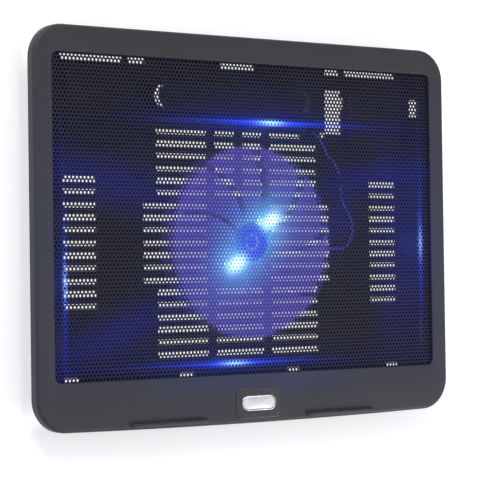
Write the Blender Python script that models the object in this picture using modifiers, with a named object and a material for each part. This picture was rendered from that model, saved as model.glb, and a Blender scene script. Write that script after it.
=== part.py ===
"""A notebook cooling pad: a tray-shaped base with flip-out rear legs, one large slim fan on a
brushless motor, and a framed sheet of perforated steel on top. Metres, +Z up. The origin is on the
ground, under the middle of the outline; +X is the pad's right and +Y its rear."""

import math

import bmesh
import bpy
from mathutils import Matrix, Vector

# ---------------------------------------------------------------- driving dimensions
GAP = 0.0003  # between pieces that touch
BITE = 0.0005  # how far shapes that are joined reach into each other
OVERCUT = 0.001  # how far a cutter runs past what it cuts
SKIM = 0.0005  # how far the cutters of the floor rise above it
WELD = 1e-6  # points this near to each other become one

# Outline
WIDTH = 0.330
DEPTH = 0.252
CORNER_RADIUS = 0.021
LEAST_CORNER_RADIUS = 0.004  # of an inner outline
FRONT_BOW = 0.002  # how far the front edge swells forward of its ends
ARC_STEPS = 6
FRONT_STEPS = 8

# Top frame
BEZEL_SIDE = 0.013
BEZEL_REAR = 0.017
BEZEL_FRONT = 0.032
BEZEL_THICKNESS = 0.0015
WINDOW_RADIUS = 0.0045
RIM_HEIGHT = 0.005
RIM_FILLET = 0.002
STOP_INNER = 0.039
STOP_LENGTH = 0.0595
STOP_WIDTH = 0.0028
STOP_HEIGHT = 0.003
STOP_INSET = 0.0022
STOP_ROUNDING = 0.0009
GROOVE_WIDTH = 0.0014
GROOVE_DEPTH = 0.0006

# Badge, a blank oval
BADGE_WIDTH = 0.035
BADGE_DEPTH = 0.0202
BADGE_INSET = 0.003
BADGE_RADIUS = 0.003
BADGE_THICKNESS = 0.0011
BADGE_PROUD = 0.0004
BADGE_BACKING = 0.0014
BADGE_SURROUND = 0.002
OVAL_WIDTH = 0.028
OVAL_DEPTH = 0.0102
OVAL_BAND = 0.0010
OVAL_HEIGHT = 0.0008
FACE_HEIGHT = 0.0006

# Perforated sheet
MESH_THICKNESS = 0.0006
MESH_LAP = 0.003

# Bottom shell
SHELL_WALL = 0.002
SHELL_STEP = 0.0004
BAND_HEIGHT = 0.002
UNDERSIDE_TAPER = 0.012
RIB_THICKNESS = 0.0012
DUCT_SIDE_INSET = 0.0085
DUCT_FAN_CLEARANCE = 0.005
DUCT_END_GAP = 0.007
DUCT_TO_MESH = 0.0026
POST_RADIUS = 0.003
POST_SPACING = 0.026  # from the fan's tips
POST_ANGLE = math.radians(28.6)

# Air slots in the floor
SLOT_PITCH = 0.008
SLOT_HEIGHT = 0.0038
SLOT_FIELD_REAR = 0.045  # from the window's rear edge to the last row
SLOT_FIELD_FRONT = 0.014
SLOT_HALF_SPAN = 0.0655
SLOT_WIDE_HALF_SPAN = 0.076
WIDE_ROWS = 3  # rows each side of the fan's centre that are wide, and blind behind the motor
SIDE_ROWS = 5
REAR_RIB_ROWS = 5  # from this row on, the middle slots are split in two
RIB_X = 0.0225
RIB_WIDTH = 0.0055
SIDE_SLOT_LENGTH = 0.0245
SIDE_SLOT_INSET = 0.017

# Vents along the edges of the floor
REAR_VENT_DEPTH = 0.0044
REAR_VENT_INSET = 0.0032
LEG_VENT_LENGTH = 0.046
SMALL_VENT_LENGTH = 0.013
SMALL_VENT_GAP = 0.004
MIDDLE_VENT_LENGTH = 0.028
SIDE_VENT_WIDTH = 0.0063
SIDE_VENT_INSET = 0.0033
SIDE_VENT_RISE = 0.0045  # above the floor, up the sloping wall
REAR_SIDE_VENT = (0.0162, 0.0285)  # its ends, from the window's rear edge
MIDDLE_SIDE_VENT = (0.0087, 0.0208)  # its ends, behind the fan's centre
FRONT_SIDE_VENT = (0.0166, 0.0333)  # its ends, from the window's front edge
FRONT_VENT_DEPTH = 0.0042
FRONT_VENT_INSET = 0.0022
FRONT_VENT_LENGTH = 0.0115
FRONT_VENT_INNER = 0.0375
FRONT_VENT_FOOT_LAP = 0.001

# Cable tray, the hole beside it, and the gland of the cable
TRAY_HALF_DEPTH = 0.0077
TRAY_HEIGHT = 0.009
TRAY_WALL = 0.0016
TRAY_INSET = 0.0231  # of its middle, from the window's rear edge
TRAY_LEFT_GAP = 0.0195  # from the left leg's pocket
TRAY_RIGHT_GAP = 0.0183  # from the cable hole
TRAY_CRESCENT = 0.0045
TRAY_ROOF_STEP = 0.0002
HOLE_WIDTH = 0.0147
HOLE_LENGTH = 0.0298
HOLE_REAR_INSET = 0.0129
HOLE_LEG_GAP = 0.0041
HOLE_CUT_RISE = 0.012  # above the floor, through the walls beside the hole
LEFT_NICK_WIDTH = 0.0045
LEFT_NICK_LENGTH = 0.0035
RIGHT_NICK_WIDTH = 0.0021
RIGHT_NICK = (0.004, 0.0125)  # its ends, from the hole's rear edge
GLAND_RADIUS = 0.003
GLAND_FLANGE = 0.0012
GLAND_FLANGE_HEIGHT = 0.0012
GLAND_HOLE_GAP = 0.012
GLAND_ROW_OFFSET = 0.002
GLAND_KEEP_OUT = 0.009

# Rubber feet
FOOT_RADIUS = 0.007
FOOT_HEIGHT = 0.002
FOOT_SOCKET = 0.0005
FOOT_CHAMFER = 0.0005
FOOT_FRONT_INSET = 0.0205
FOOT_SIDE_INSET = 0.047
FOOT_REAR_SIDE_INSET = 0.023
FOOT_REAR_INSET = 0.056

# Rear legs
LEG_WIDTH = 0.038
LEG_LENGTH = 0.0335
LEG_THICKNESS = 0.0046
LEG_SIDE_INSET = 0.039  # of a leg's middle, from the window's side edge
LEG_PIVOT_INSET = 0.010
LEG_SIDE_CLEARANCE = 0.0004
LEG_UNDERSIDE_LIFT = 0.0002
LEG_NOTCH_RADIUS = 0.007
LEG_NOTCH_DEPTH = 0.003
LEG_TIP_CHAMFER = 0.0008
LEG_RECESS_DEPTH = 0.0008
LEG_RECESS_MARGIN = 0.005
PAD_LENGTH = 0.0024
PAD_INSET = 0.0006
PAD_NOTCH_GAP = 0.001
PAD_ROUNDING = 0.0006
PIN_RADIUS = 0.0012
PIN_SEAT = 0.0014
POCKET_WALL = 0.002
POCKET_ROOF = 0.0016
FINGER_ROOM = 0.005

# Screws
CASING_SCREW_INSET = 0.0105  # of the rear screws, from the rear edge
CASING_SCREW_FRONT = 0.020
CASING_SCREW_SIDE = 0.019
CASING_SCREW_VENT_GAP = 0.009
SCREW_SHANK_RADIUS = 0.0010
SCREW_HEAD_RADIUS = 0.0024
SCREW_HEAD_HEIGHT = 0.0016
SCREW_RECESS = 0.0006
SCREW_CROSS_WIDTH = 0.0008
SCREW_CROSS_REACH = 0.62  # of the head's radius
SCREW_EDGE_HEIGHT = 0.65  # of the head's height, where it begins to narrow
SCREW_FACE = 0.8  # of the head's radius, its flat face
PILOT_STOP = 0.0005  # from a screw hole's end to the bezel
BOSS_WALL = 0.0019
BOSS_LEDGE = 0.0032
BOSS_SPLIT = 0.0025  # below the parting line, where the two bosses meet
MOTOR_SCREW_CIRCLE = 0.020
MOTOR_SCREW_ANGLES = (math.radians(15), math.radians(135), math.radians(255))
MOTOR_HEAD_RADIUS = 0.0021
MOTOR_HEAD_HEIGHT = 0.0014

# Fan and motor
FAN_RADIUS = 0.063
BLADES = 9
BLADE_HEIGHT = 0.0062
BLADE_THICKNESS = 0.0009
BLADE_SPAN_ANGLE = math.radians(37)
BLADE_SWEEP = math.radians(26)
BLADE_CLEARANCE = 0.0009
BLADE_BELLY = 0.14  # how much lower, in shares of its climb, a blade is at mid span
BLADE_SWEEP_POWER = 1.4
BLADE_CLIMB_POWER = 1.15
HUB_WALL = 0.0016
HUB_CAP = 0.0012
HUB_LIP = 0.0003
HUB_CHAMFER = 0.0008
HUB_TO_MESH = 0.0016
HUB_TO_BOARD = 0.001
SHAFT_RADIUS = 0.001
SHAFT_SEAT = 0.0006
SLEEVE_WALL = 0.001
TUBE_WALL = 0.0009
STATOR_RING = 0.0009
STATOR_ARM = 0.0025
STATOR_ARM_WIDTH = 0.0018
STATOR_SHOE = 0.0009
STATOR_SHOE_ANGLE = math.radians(24)
WINDING = 0.001
WINDING_CHAMFER = 0.0006
COIL_CLEARANCE = 0.0004
COIL_TO_BOARD = 0.0012
AIR_GAP = 0.0004
MAGNET_WALL = 0.001
YOKE_WALL = 0.0008
POLES = 4
CLIP_HEIGHT = 0.0005
CLIP_LIFT = 0.0004
MOTOR_BASE_RADIUS = 0.024
MOTOR_BASE_THICKNESS = 0.0018
MOTOR_BASE_FLOOR = 0.001
BOARD_RADIUS = 0.014
BOARD_THICKNESS = 0.001
BOARD_ARM_WIDTH = 0.008
BOARD_ARM_REACH = 0.0235
LED_CIRCLE = 0.020
LED_ANGLES = (math.radians(45), math.radians(225))
LED_RADIUS = 0.0025
LED_COLLAR = 0.0012
LED_HEIGHT = 0.0026
LED_LENS_RADIUS = 0.0019
LEAD_RADIUS = 0.001
LEAD_SPACING = 0.0048  # of the points along it
LEAD_OFFSET = 0.004  # in front of the fan's centre, as far as the edge of the window
LEAD_ON_BASE = (0.019, 0.0243)  # X of the straight over the motor's base
LEAD_ON_FLOOR = (0.030, 0.045, 0.062)  # X of the straight under the blades
LEAD_BEND = (  # X, and Y behind the fan's centre, from the blades round the post to the gland
    (0.0780, -0.0045),
    (0.0885, -0.0030),
    (0.0950, 0.0060),
    (0.0925, 0.0170),
    (0.0862, 0.0270),
    (0.0845, 0.0390),
    (0.0842, 0.0470),
    (0.0805, 0.0535),
    (0.0730, 0.0600),
)
LEAD_RISE = (  # at the gland: X and Y from its axis, and Z above the floor's straight
    (0.0065, -0.0060, 0.0012),
    (0.0020, -0.0018, 0.0028),
    (0.0, 0.0, 0.0012),
)
LEAD_END = 0.0012  # above the underside

# ---------------------------------------------------------------- sizes that follow
HALF_WIDTH = WIDTH / 2
HALF_DEPTH = DEPTH / 2
WINDOW_HALF = HALF_WIDTH - BEZEL_SIDE
WINDOW_REAR = HALF_DEPTH - BEZEL_REAR
WINDOW_FRONT = -HALF_DEPTH + BEZEL_FRONT

FLOOR_UNDER = FOOT_HEIGHT + GAP
FLOOR_TOP = FLOOR_UNDER + SHELL_WALL
BASE_UNDER = FLOOR_TOP + GAP
BASE_TOP = BASE_UNDER + MOTOR_BASE_THICKNESS
BOARD_UNDER = BASE_TOP + GAP
BOARD_TOP = BOARD_UNDER + BOARD_THICKNESS
LED_UNDER = BOARD_TOP + GAP
BLADE_UNDER = LED_UNDER + LED_HEIGHT + BLADE_CLEARANCE
BLADE_TOP = BLADE_UNDER + BLADE_HEIGHT
HUB_TOP = BLADE_TOP + HUB_LIP
HUB_UNDER = BOARD_TOP + HUB_TO_BOARD
MESH_UNDER = HUB_TOP + HUB_TO_MESH
MESH_TOP = MESH_UNDER + MESH_THICKNESS
BEZEL_UNDER = MESH_TOP + GAP
TOP = BEZEL_UNDER + BEZEL_THICKNESS
PARTING = TOP - RIM_HEIGHT
SHELL_TOP = PARTING - GAP

SLEEVE_BORE = SHAFT_RADIUS + GAP
SLEEVE_RADIUS = SLEEVE_BORE + SLEEVE_WALL
TUBE_BORE = SLEEVE_RADIUS + GAP
TUBE_RADIUS = TUBE_BORE + TUBE_WALL
STATOR_BORE = TUBE_RADIUS + GAP
STATOR_RING_RADIUS = STATOR_BORE + STATOR_RING
SHOE_RADIUS = STATOR_RING_RADIUS + STATOR_ARM
STATOR_RADIUS = SHOE_RADIUS + STATOR_SHOE
MAGNET_BORE = STATOR_RADIUS + AIR_GAP
MAGNET_RADIUS = MAGNET_BORE + MAGNET_WALL
YOKE_BORE = MAGNET_RADIUS + GAP
YOKE_RADIUS = YOKE_BORE + YOKE_WALL
HUB_BORE = YOKE_RADIUS + GAP
HUB_RADIUS = HUB_BORE + HUB_WALL
HUB_CEILING = HUB_TOP - HUB_CAP
YOKE_TOP = HUB_CEILING - GAP
YOKE_CEILING = YOKE_TOP - YOKE_WALL
YOKE_UNDER = HUB_UNDER + GAP
COIL_TOP = YOKE_CEILING - COIL_CLEARANCE
COIL_UNDER = BOARD_TOP + COIL_TO_BOARD
STATOR_TOP = COIL_TOP - WINDING - GAP
STATOR_UNDER = COIL_UNDER + WINDING + GAP
TUBE_TOP = YOKE_CEILING - 2 * GAP
SHAFT_UNDER = BASE_UNDER + MOTOR_BASE_FLOOR + GAP
CLIP_UNDER = SHAFT_UNDER + CLIP_LIFT
SLEEVE_UNDER = CLIP_UNDER + CLIP_HEIGHT + GAP

SLOT_REAR_LIMIT = WINDOW_REAR - SLOT_FIELD_REAR
SLOT_FRONT_LIMIT = WINDOW_FRONT + SLOT_FIELD_FRONT
FAN_Y = (SLOT_REAR_LIMIT + SLOT_FRONT_LIMIT) / 2
SLOT_ROWS = int((SLOT_REAR_LIMIT - SLOT_FRONT_LIMIT) / SLOT_PITCH + 1e-6) + 1
ROW_OFFSETS = [row - (SLOT_ROWS - 1) / 2 for row in range(SLOT_ROWS)]

LEG_X = WINDOW_HALF - LEG_SIDE_INSET
LEG_PIVOT_Y = WINDOW_REAR - LEG_PIVOT_INSET
LEG_PIVOT_Z = FLOOR_UNDER + LEG_UNDERSIDE_LIFT + LEG_THICKNESS / 2
LEG_TIP_Y = LEG_PIVOT_Y - LEG_LENGTH
PAD_TIP_Y = LEG_TIP_Y - GAP - PAD_LENGTH
POCKET_HALF = LEG_WIDTH / 2 + LEG_SIDE_CLEARANCE
POCKET_REAR = LEG_PIVOT_Y + LEG_THICKNESS / 2 + LEG_SIDE_CLEARANCE
POCKET_FRONT = PAD_TIP_Y - FINGER_ROOM
POCKET_CEILING = LEG_PIVOT_Z + LEG_THICKNESS / 2 + GAP
POCKET_INNER_X = LEG_X - POCKET_HALF - POCKET_WALL

HOLE_RIGHT = POCKET_INNER_X - HOLE_LEG_GAP
HOLE_LEFT = HOLE_RIGHT - HOLE_WIDTH
HOLE_REAR = WINDOW_REAR - HOLE_REAR_INSET
HOLE_FRONT = HOLE_REAR - HOLE_LENGTH
TRAY_Y = WINDOW_REAR - TRAY_INSET
TRAY_LEFT = -POCKET_INNER_X + TRAY_LEFT_GAP
TRAY_RIGHT = HOLE_LEFT - TRAY_RIGHT_GAP
TRAY_CEILING = FLOOR_UNDER + TRAY_HEIGHT
GLAND_X = HOLE_LEFT - GLAND_HOLE_GAP
GLAND_Y = SLOT_REAR_LIMIT + GLAND_ROW_OFFSET

LEG_VENT_INNER = LEG_X - LEG_VENT_LENGTH / 2
SMALL_VENT_OUTER = LEG_VENT_INNER - SMALL_VENT_GAP
SMALL_VENT_INNER = SMALL_VENT_OUTER - SMALL_VENT_LENGTH
BOSS_RADIUS = SCREW_HEAD_RADIUS + GAP + BOSS_WALL
BOSS_TOP = PARTING - BOSS_SPLIT
BOSS_SEAT = BOSS_TOP - BOSS_LEDGE
CASING_SCREWS = [
    (side * x, y)
    for y in (HALF_DEPTH - CASING_SCREW_INSET, -HALF_DEPTH + CASING_SCREW_FRONT)
    for x in (HALF_WIDTH - CASING_SCREW_SIDE, SMALL_VENT_INNER - CASING_SCREW_VENT_GAP)
    for side in (-1, 1)
]
FEET = [
    (side * x, y)
    for x, y in (
        (HALF_WIDTH - FOOT_SIDE_INSET, -HALF_DEPTH + FOOT_FRONT_INSET),
        (HALF_WIDTH - FOOT_REAR_SIDE_INSET, HALF_DEPTH - FOOT_REAR_INSET),
    )
    for side in (-1, 1)
]

# ---------------------------------------------------------------- scene, materials, helpers
for old in list(bpy.data.objects):
    bpy.data.objects.remove(old, do_unlink=True)

parts = bpy.data.collections.new("notebook_cooling_pad")
cutters = bpy.data.collections.new("cutters")
bpy.context.scene.collection.children.link(parts)
bpy.context.scene.collection.children.link(cutters)


def material(name, color, roughness, metallic=0.0, alpha=1.0):
    """A plain Principled material."""
    made = bpy.data.materials.new(name)
    made.use_nodes = True
    shader = made.node_tree.nodes["Principled BSDF"]
    shader.inputs["Base Color"].default_value = (*color, 1.0)
    shader.inputs["Roughness"].default_value = roughness
    shader.inputs["Metallic"].default_value = metallic
    shader.inputs["Alpha"].default_value = alpha
    made.diffuse_color = (*color, alpha)
    return made


FRAME_PLASTIC = material("frame_plastic", (0.050, 0.052, 0.056), 0.55)
SHELL_PLASTIC = material("shell_plastic", (0.014, 0.014, 0.016), 0.6)
SHEET_STEEL = material("sheet_steel", (0.035, 0.037, 0.042), 0.4, 0.7)
BLADE_PLASTIC = material("blade_plastic", (0.20, 0.13, 0.72), 0.25, 0.0, 0.6)
STEEL = material("steel", (0.55, 0.55, 0.56), 0.3, 1.0)
FERRITE = material("ferrite", (0.05, 0.05, 0.055), 0.6)
LAMINATION = material("lamination", (0.32, 0.32, 0.34), 0.45, 1.0)
COPPER = material("copper", (0.72, 0.30, 0.14), 0.35, 1.0)
BRONZE = material("bronze", (0.55, 0.38, 0.18), 0.4, 1.0)
BOARD_LACQUER = material("board_lacquer", (0.02, 0.10, 0.05), 0.35)
LED_EPOXY = material("led_epoxy", (0.62, 0.80, 1.0), 0.1)
LEAD_SLEEVE = material("lead_sleeve", (0.012, 0.012, 0.013), 0.5)
RUBBER = material("rubber", (0.018, 0.018, 0.019), 0.85)
SCREW_STEEL = material("screw_steel", (0.10, 0.10, 0.11), 0.35, 1.0)
BADGE_GLOSS = material("badge_gloss", (0.012, 0.012, 0.014), 0.08)
BADGE_CHROME = material("badge_chrome", (0.80, 0.80, 0.82), 0.12, 1.0)
BADGE_SILVER = material("badge_silver", (0.52, 0.53, 0.55), 0.35, 1.0)


def new_object(name, mesh, finish=None):
    """An object of the mesh: a part where it has a finish, otherwise a cutter."""
    made = bpy.data.objects.new(name, mesh)
    if finish is None:
        cutters.objects.link(made)
        made.hide_render = True
        made.display_type = "WIRE"
        return made
    parts.objects.link(made)
    if not mesh.materials:
        mesh.materials.append(finish)
    return made


def mesh_from(name, bm):
    """Turns a bmesh into a mesh with its faces pointing out, and frees it."""
    bmesh.ops.recalc_face_normals(bm, faces=bm.faces)
    mesh = bpy.data.meshes.new(name)
    bm.to_mesh(mesh)
    bm.free()
    return mesh


def baked(name, source, finish=None):
    """Replaces an object by the mesh that it evaluates to, with its seams welded."""
    bpy.context.view_layer.update()
    graph = bpy.context.evaluated_depsgraph_get()
    mesh = bpy.data.meshes.new_from_object(source.evaluated_get(graph), depsgraph=graph)
    bm = bmesh.new()
    bm.from_mesh(mesh)
    bpy.data.meshes.remove(mesh)
    bmesh.ops.remove_doubles(bm, verts=bm.verts, dist=WELD)
    matrix = source.matrix_world.copy()
    bpy.data.objects.remove(source, do_unlink=True)
    made = new_object(name, mesh_from(name, bm), finish)
    made.matrix_world = matrix
    return made


def cut(target, tool, operation="DIFFERENCE"):
    """Adds a Boolean of the tool, which becomes or stays a hidden cutter."""
    modifier = target.modifiers.new(f"{operation.lower()}_{tool.name}", "BOOLEAN")
    modifier.object = tool
    modifier.operation = operation
    modifier.solver = "EXACT"


def join(target, tool):
    cut(target, tool, "UNION")


def boxes(name, corners):
    """One mesh of boxes, each from its low corner to its high corner."""
    bm = bmesh.new()
    for low, high in corners:
        low = Vector(low)
        high = Vector(high)
        size = Matrix.Diagonal((*(high - low), 1.0))
        bmesh.ops.create_cube(bm, size=1.0, matrix=Matrix.Translation((low + high) / 2) @ size)
    return mesh_from(name, bm)


def cylinders(name, places, radius, low, high, sides=16):
    """One mesh of upright cylinders at the (x, y) places."""
    bm = bmesh.new()
    for x, y in places:
        bmesh.ops.create_cone(
            bm,
            cap_ends=True,
            segments=sides,
            radius1=radius,
            radius2=radius,
            depth=high - low,
            matrix=Matrix.Translation((x, y, (low + high) / 2)),
        )
    return mesh_from(name, bm)


def plate(name, outlines, thickness, finish=None):
    """A flat solid between Z 0 and its thickness. Every outline after the first is a hole."""
    curve = bpy.data.curves.new(name, "CURVE")
    curve.dimensions = "2D"
    curve.fill_mode = "BOTH"
    curve.extrude = thickness / 2
    for outline in outlines:
        spline = curve.splines.new("POLY")
        spline.points.add(len(outline) - 1)
        for point, (x, y) in zip(spline.points, outline):
            point.co = (x, y, 0.0, 1.0)
        spline.use_cyclic_u = True
    source = bpy.data.objects.new(name + "_curve", curve)
    source.location.z = thickness / 2
    cutters.objects.link(source)
    made = baked(name, source, finish)
    made.data.transform(made.matrix_world)
    made.matrix_world = Matrix()
    return made


def turned(name, profile, finish, closed=False, steps=32):
    """A solid of revolution about Z. The profile of (radius, z) runs top to bottom on its outer
    side; a closed one is a ring."""
    mesh = bpy.data.meshes.new(name)
    count = len(profile)
    edges = [(i, i + 1) for i in range(count - 1)]
    if closed:
        edges.append((count - 1, 0))
    mesh.from_pydata([(radius, 0.0, z) for radius, z in profile], edges, [])
    made = new_object(name, mesh, finish)
    screw = made.modifiers.new("turn", "SCREW")
    screw.axis = "Z"
    screw.angle = math.tau
    screw.steps = steps
    screw.render_steps = steps
    screw.use_merge_vertices = True
    screw.merge_threshold = WELD
    screw.use_smooth_shade = False
    return made


def ring(name, bore, radius, low, high, finish, steps=32):
    profile = [(radius, high), (radius, low), (bore, low), (bore, high)]
    return turned(name, profile, finish, closed=True, steps=steps)


def smooth(obj, degrees=40):
    """Smooth shading that keeps the sharp edges."""
    obj.data.shade_smooth()
    obj.data.set_sharp_from_angle(angle=math.radians(degrees))


def polar(radius, angle, center=(0.0, 0.0)):
    return (center[0] + radius * math.cos(angle), center[1] + radius * math.sin(angle))


def circle(radius, sides=32, center=(0.0, 0.0)):
    return [polar(radius, math.tau * i / sides, center) for i in range(sides)]


def stadium(left, right, y, radius, steps=10):
    """A bar with round ends whose tips are at left and right."""
    points = []
    for x, start in ((right - radius, -90), (left + radius, 90)):
        for i in range(steps + 1):
            points.append(polar(radius, math.radians(start + 180 * i / steps), (x, y)))
    return points


def outline(half_x, front, rear, radius, bow=0.0, steps=ARC_STEPS, front_steps=FRONT_STEPS):
    """A rounded rectangle, anticlockwise from the left end of its front edge, which swells forward by
    the bow. Every outline with the same steps has the same number of points, so two can be lofted."""
    ends = half_x - radius
    end_front = front + bow * (ends / half_x) ** 2
    points = []
    for i in range(front_steps + 1):
        x = -ends + 2 * ends * i / front_steps
        points.append((x, front + bow * (x / half_x) ** 2))
    corners = (
        (ends, end_front + radius, -90),
        (ends, rear - radius, 0),
        (-ends, rear - radius, 90),
        (-ends, end_front + radius, 180),
    )
    for x, y, start in corners:
        first = 1 if start == -90 else 0
        last = steps if start == 180 else steps + 1
        for i in range(first, last):
            points.append(polar(radius, math.radians(start + 90 * i / steps), (x, y)))
    return points


def pad_outline(inset):
    """The pad's own outline, moved in."""
    return outline(
        HALF_WIDTH - inset,
        -HALF_DEPTH + inset,
        HALF_DEPTH - inset,
        max(CORNER_RADIUS - inset, LEAST_CORNER_RADIUS),
        FRONT_BOW,
    )


def loft(name, rings, cap_first):
    """An open surface through closed rings of (outline, z)."""
    bm = bmesh.new()
    loops = [[bm.verts.new((x, y, z)) for x, y in points] for points, z in rings]
    for lower, upper in zip(loops, loops[1:]):
        for i in range(len(lower)):
            j = (i + 1) % len(lower)
            bm.faces.new((lower[i], lower[j], upper[j], upper[i]))
    if cap_first:
        bm.faces.new(reversed(loops[0]))
    mesh = bpy.data.meshes.new(name)
    bm.to_mesh(mesh)
    bm.free()
    return mesh


def thicken(obj, thickness):
    """Gives an open surface its wall, on the inner side."""
    solid = obj.modifiers.new("wall", "SOLIDIFY")
    solid.thickness = thickness
    solid.offset = -1.0
    solid.use_even_offset = True


# ---------------------------------------------------------------- top frame, sheet and badge
def stop_boxes(low, high, front, rear):
    """Two bars along the front edge, left and right."""
    outer = STOP_INNER + STOP_LENGTH
    return [
        ((-outer, front, low), (-STOP_INNER, rear, high)),
        ((STOP_INNER, front, low), (outer, rear, high)),
    ]


def build_top_frame():
    window = outline(WINDOW_HALF, WINDOW_FRONT, WINDOW_REAR, WINDOW_RADIUS)
    rings = [(pad_outline(0.0), PARTING), (pad_outline(0.0), TOP - RIM_FILLET)]
    for i in range(1, 4):
        angle = math.radians(90 * i / 3)
        inset = RIM_FILLET * (1 - math.cos(angle))
        rings.append((pad_outline(inset), TOP - RIM_FILLET * (1 - math.sin(angle))))
    rings.append((window, TOP))
    frame = new_object("top_frame", loft("top_frame", rings, False), FRAME_PLASTIC)
    thicken(frame, BEZEL_THICKNESS)

    stop_front = -HALF_DEPTH + STOP_INSET
    stop_rear = stop_front + STOP_WIDTH
    bars = stop_boxes(TOP - BITE, TOP + STOP_HEIGHT, stop_front, stop_rear)
    stops = new_object("frame_stops", boxes("frame_stops", bars))
    rounding = stops.modifiers.new("rounding", "BEVEL")
    rounding.width = STOP_ROUNDING
    rounding.segments = 2
    rounding.limit_method = "ANGLE"
    join(frame, stops)

    badge_front = -HALF_DEPTH + BADGE_INSET
    badge_rear = badge_front + BADGE_DEPTH
    seat_z = TOP + BADGE_PROUD - BADGE_THICKNESS - GAP
    backing = boxes(
        "badge_backing",
        [((-BADGE_WIDTH / 2 - BADGE_SURROUND, badge_front - GAP - BITE, seat_z - BADGE_BACKING),
          (BADGE_WIDTH / 2 + BADGE_SURROUND, badge_rear + BADGE_SURROUND, TOP - BITE))],
    )
    join(frame, new_object("badge_backing", backing))

    shank_hole = SCREW_SHANK_RADIUS + GAP
    bosses = cylinders("frame_bosses", CASING_SCREWS, shank_hole + BOSS_WALL, BOSS_TOP + GAP, TOP - BITE)
    join(frame, new_object("frame_bosses", bosses))
    pilots = cylinders(
        "frame_pilots", CASING_SCREWS, shank_hole, BOSS_TOP - OVERCUT, BEZEL_UNDER - PILOT_STOP, 8
    )
    cut(frame, new_object("frame_pilots", pilots))

    groove_front = stop_rear + GAP
    bars = stop_boxes(TOP - GROOVE_DEPTH, TOP + OVERCUT, groove_front, groove_front + GROOVE_WIDTH)
    cut(frame, new_object("frame_groove", boxes("frame_groove", bars)))
    seat_outline = outline(
        BADGE_WIDTH / 2 + GAP, badge_front - GAP, badge_rear + GAP, BADGE_RADIUS + GAP, front_steps=1
    )
    seat = plate("badge_seat", [seat_outline], TOP + OVERCUT - seat_z)
    seat.location.z = seat_z
    cut(frame, seat)


def build_mesh_panel():
    points = outline(
        WINDOW_HALF + MESH_LAP,
        WINDOW_FRONT - MESH_LAP,
        WINDOW_REAR + MESH_LAP,
        WINDOW_RADIUS + MESH_LAP / 2,
        front_steps=1,
    )
    panel = plate("mesh_panel", [points], MESH_THICKNESS, SHEET_STEEL)
    panel.location.z = MESH_UNDER


def badge_oval(inset):
    half_x = OVAL_WIDTH / 2 - inset
    return stadium(-half_x, half_x, 0.0, OVAL_DEPTH / 2 - inset, 12)


def build_badge():
    front = -HALF_DEPTH + BADGE_INSET
    middle = front + BADGE_DEPTH / 2
    points = outline(BADGE_WIDTH / 2, front, front + BADGE_DEPTH, BADGE_RADIUS, front_steps=1)
    badge = plate("badge_plate", [points], BADGE_THICKNESS, BADGE_GLOSS)
    badge.location.z = TOP + BADGE_PROUD - BADGE_THICKNESS
    band = plate("badge_ring", [badge_oval(0.0), badge_oval(OVAL_BAND)], OVAL_HEIGHT, BADGE_CHROME)
    band.location = (0.0, middle, TOP + BADGE_PROUD + GAP)
    face = plate("badge_face", [badge_oval(OVAL_BAND + GAP)], FACE_HEIGHT, BADGE_SILVER)
    face.location = (0.0, middle, TOP + BADGE_PROUD + GAP)


# ---------------------------------------------------------------- bottom shell
def slot_boxes():
    """The air slots of the floor: the field under the fan and the block on each side."""
    low = FLOOR_UNDER - OVERCUT
    high = FLOOR_TOP + SKIM
    half = SLOT_HEIGHT / 2
    spans = []
    for offset in ROW_OFFSETS:
        y = FAN_Y + offset * SLOT_PITCH
        wide = abs(offset) <= WIDE_ROWS
        reach = SLOT_WIDE_HALF_SPAN if wide else SLOT_HALF_SPAN
        right = reach
        if abs(y - GLAND_Y) < half + GLAND_RADIUS + GLAND_FLANGE + 2 * GAP:
            right = min(reach, GLAND_X - GLAND_KEEP_OUT)
        spans.append((-reach, -RIB_X - RIB_WIDTH / 2, y))
        spans.append((RIB_X + RIB_WIDTH / 2, right, y))
        middle = RIB_X - RIB_WIDTH / 2
        if not wide and offset < REAR_RIB_ROWS:
            spans.append((-middle, middle, y))
        elif not wide:
            spans.append((-middle, -RIB_WIDTH / 2, y))
            spans.append((RIB_WIDTH / 2, middle, y))
        if abs(offset) <= SIDE_ROWS:
            outer = WINDOW_HALF - SIDE_SLOT_INSET
            spans.append((-outer, -outer + SIDE_SLOT_LENGTH, y))
            spans.append((outer - SIDE_SLOT_LENGTH, outer, y))
    return [((x0, y - half, low), (x1, y + half, high)) for x0, x1, y in spans]


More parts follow.
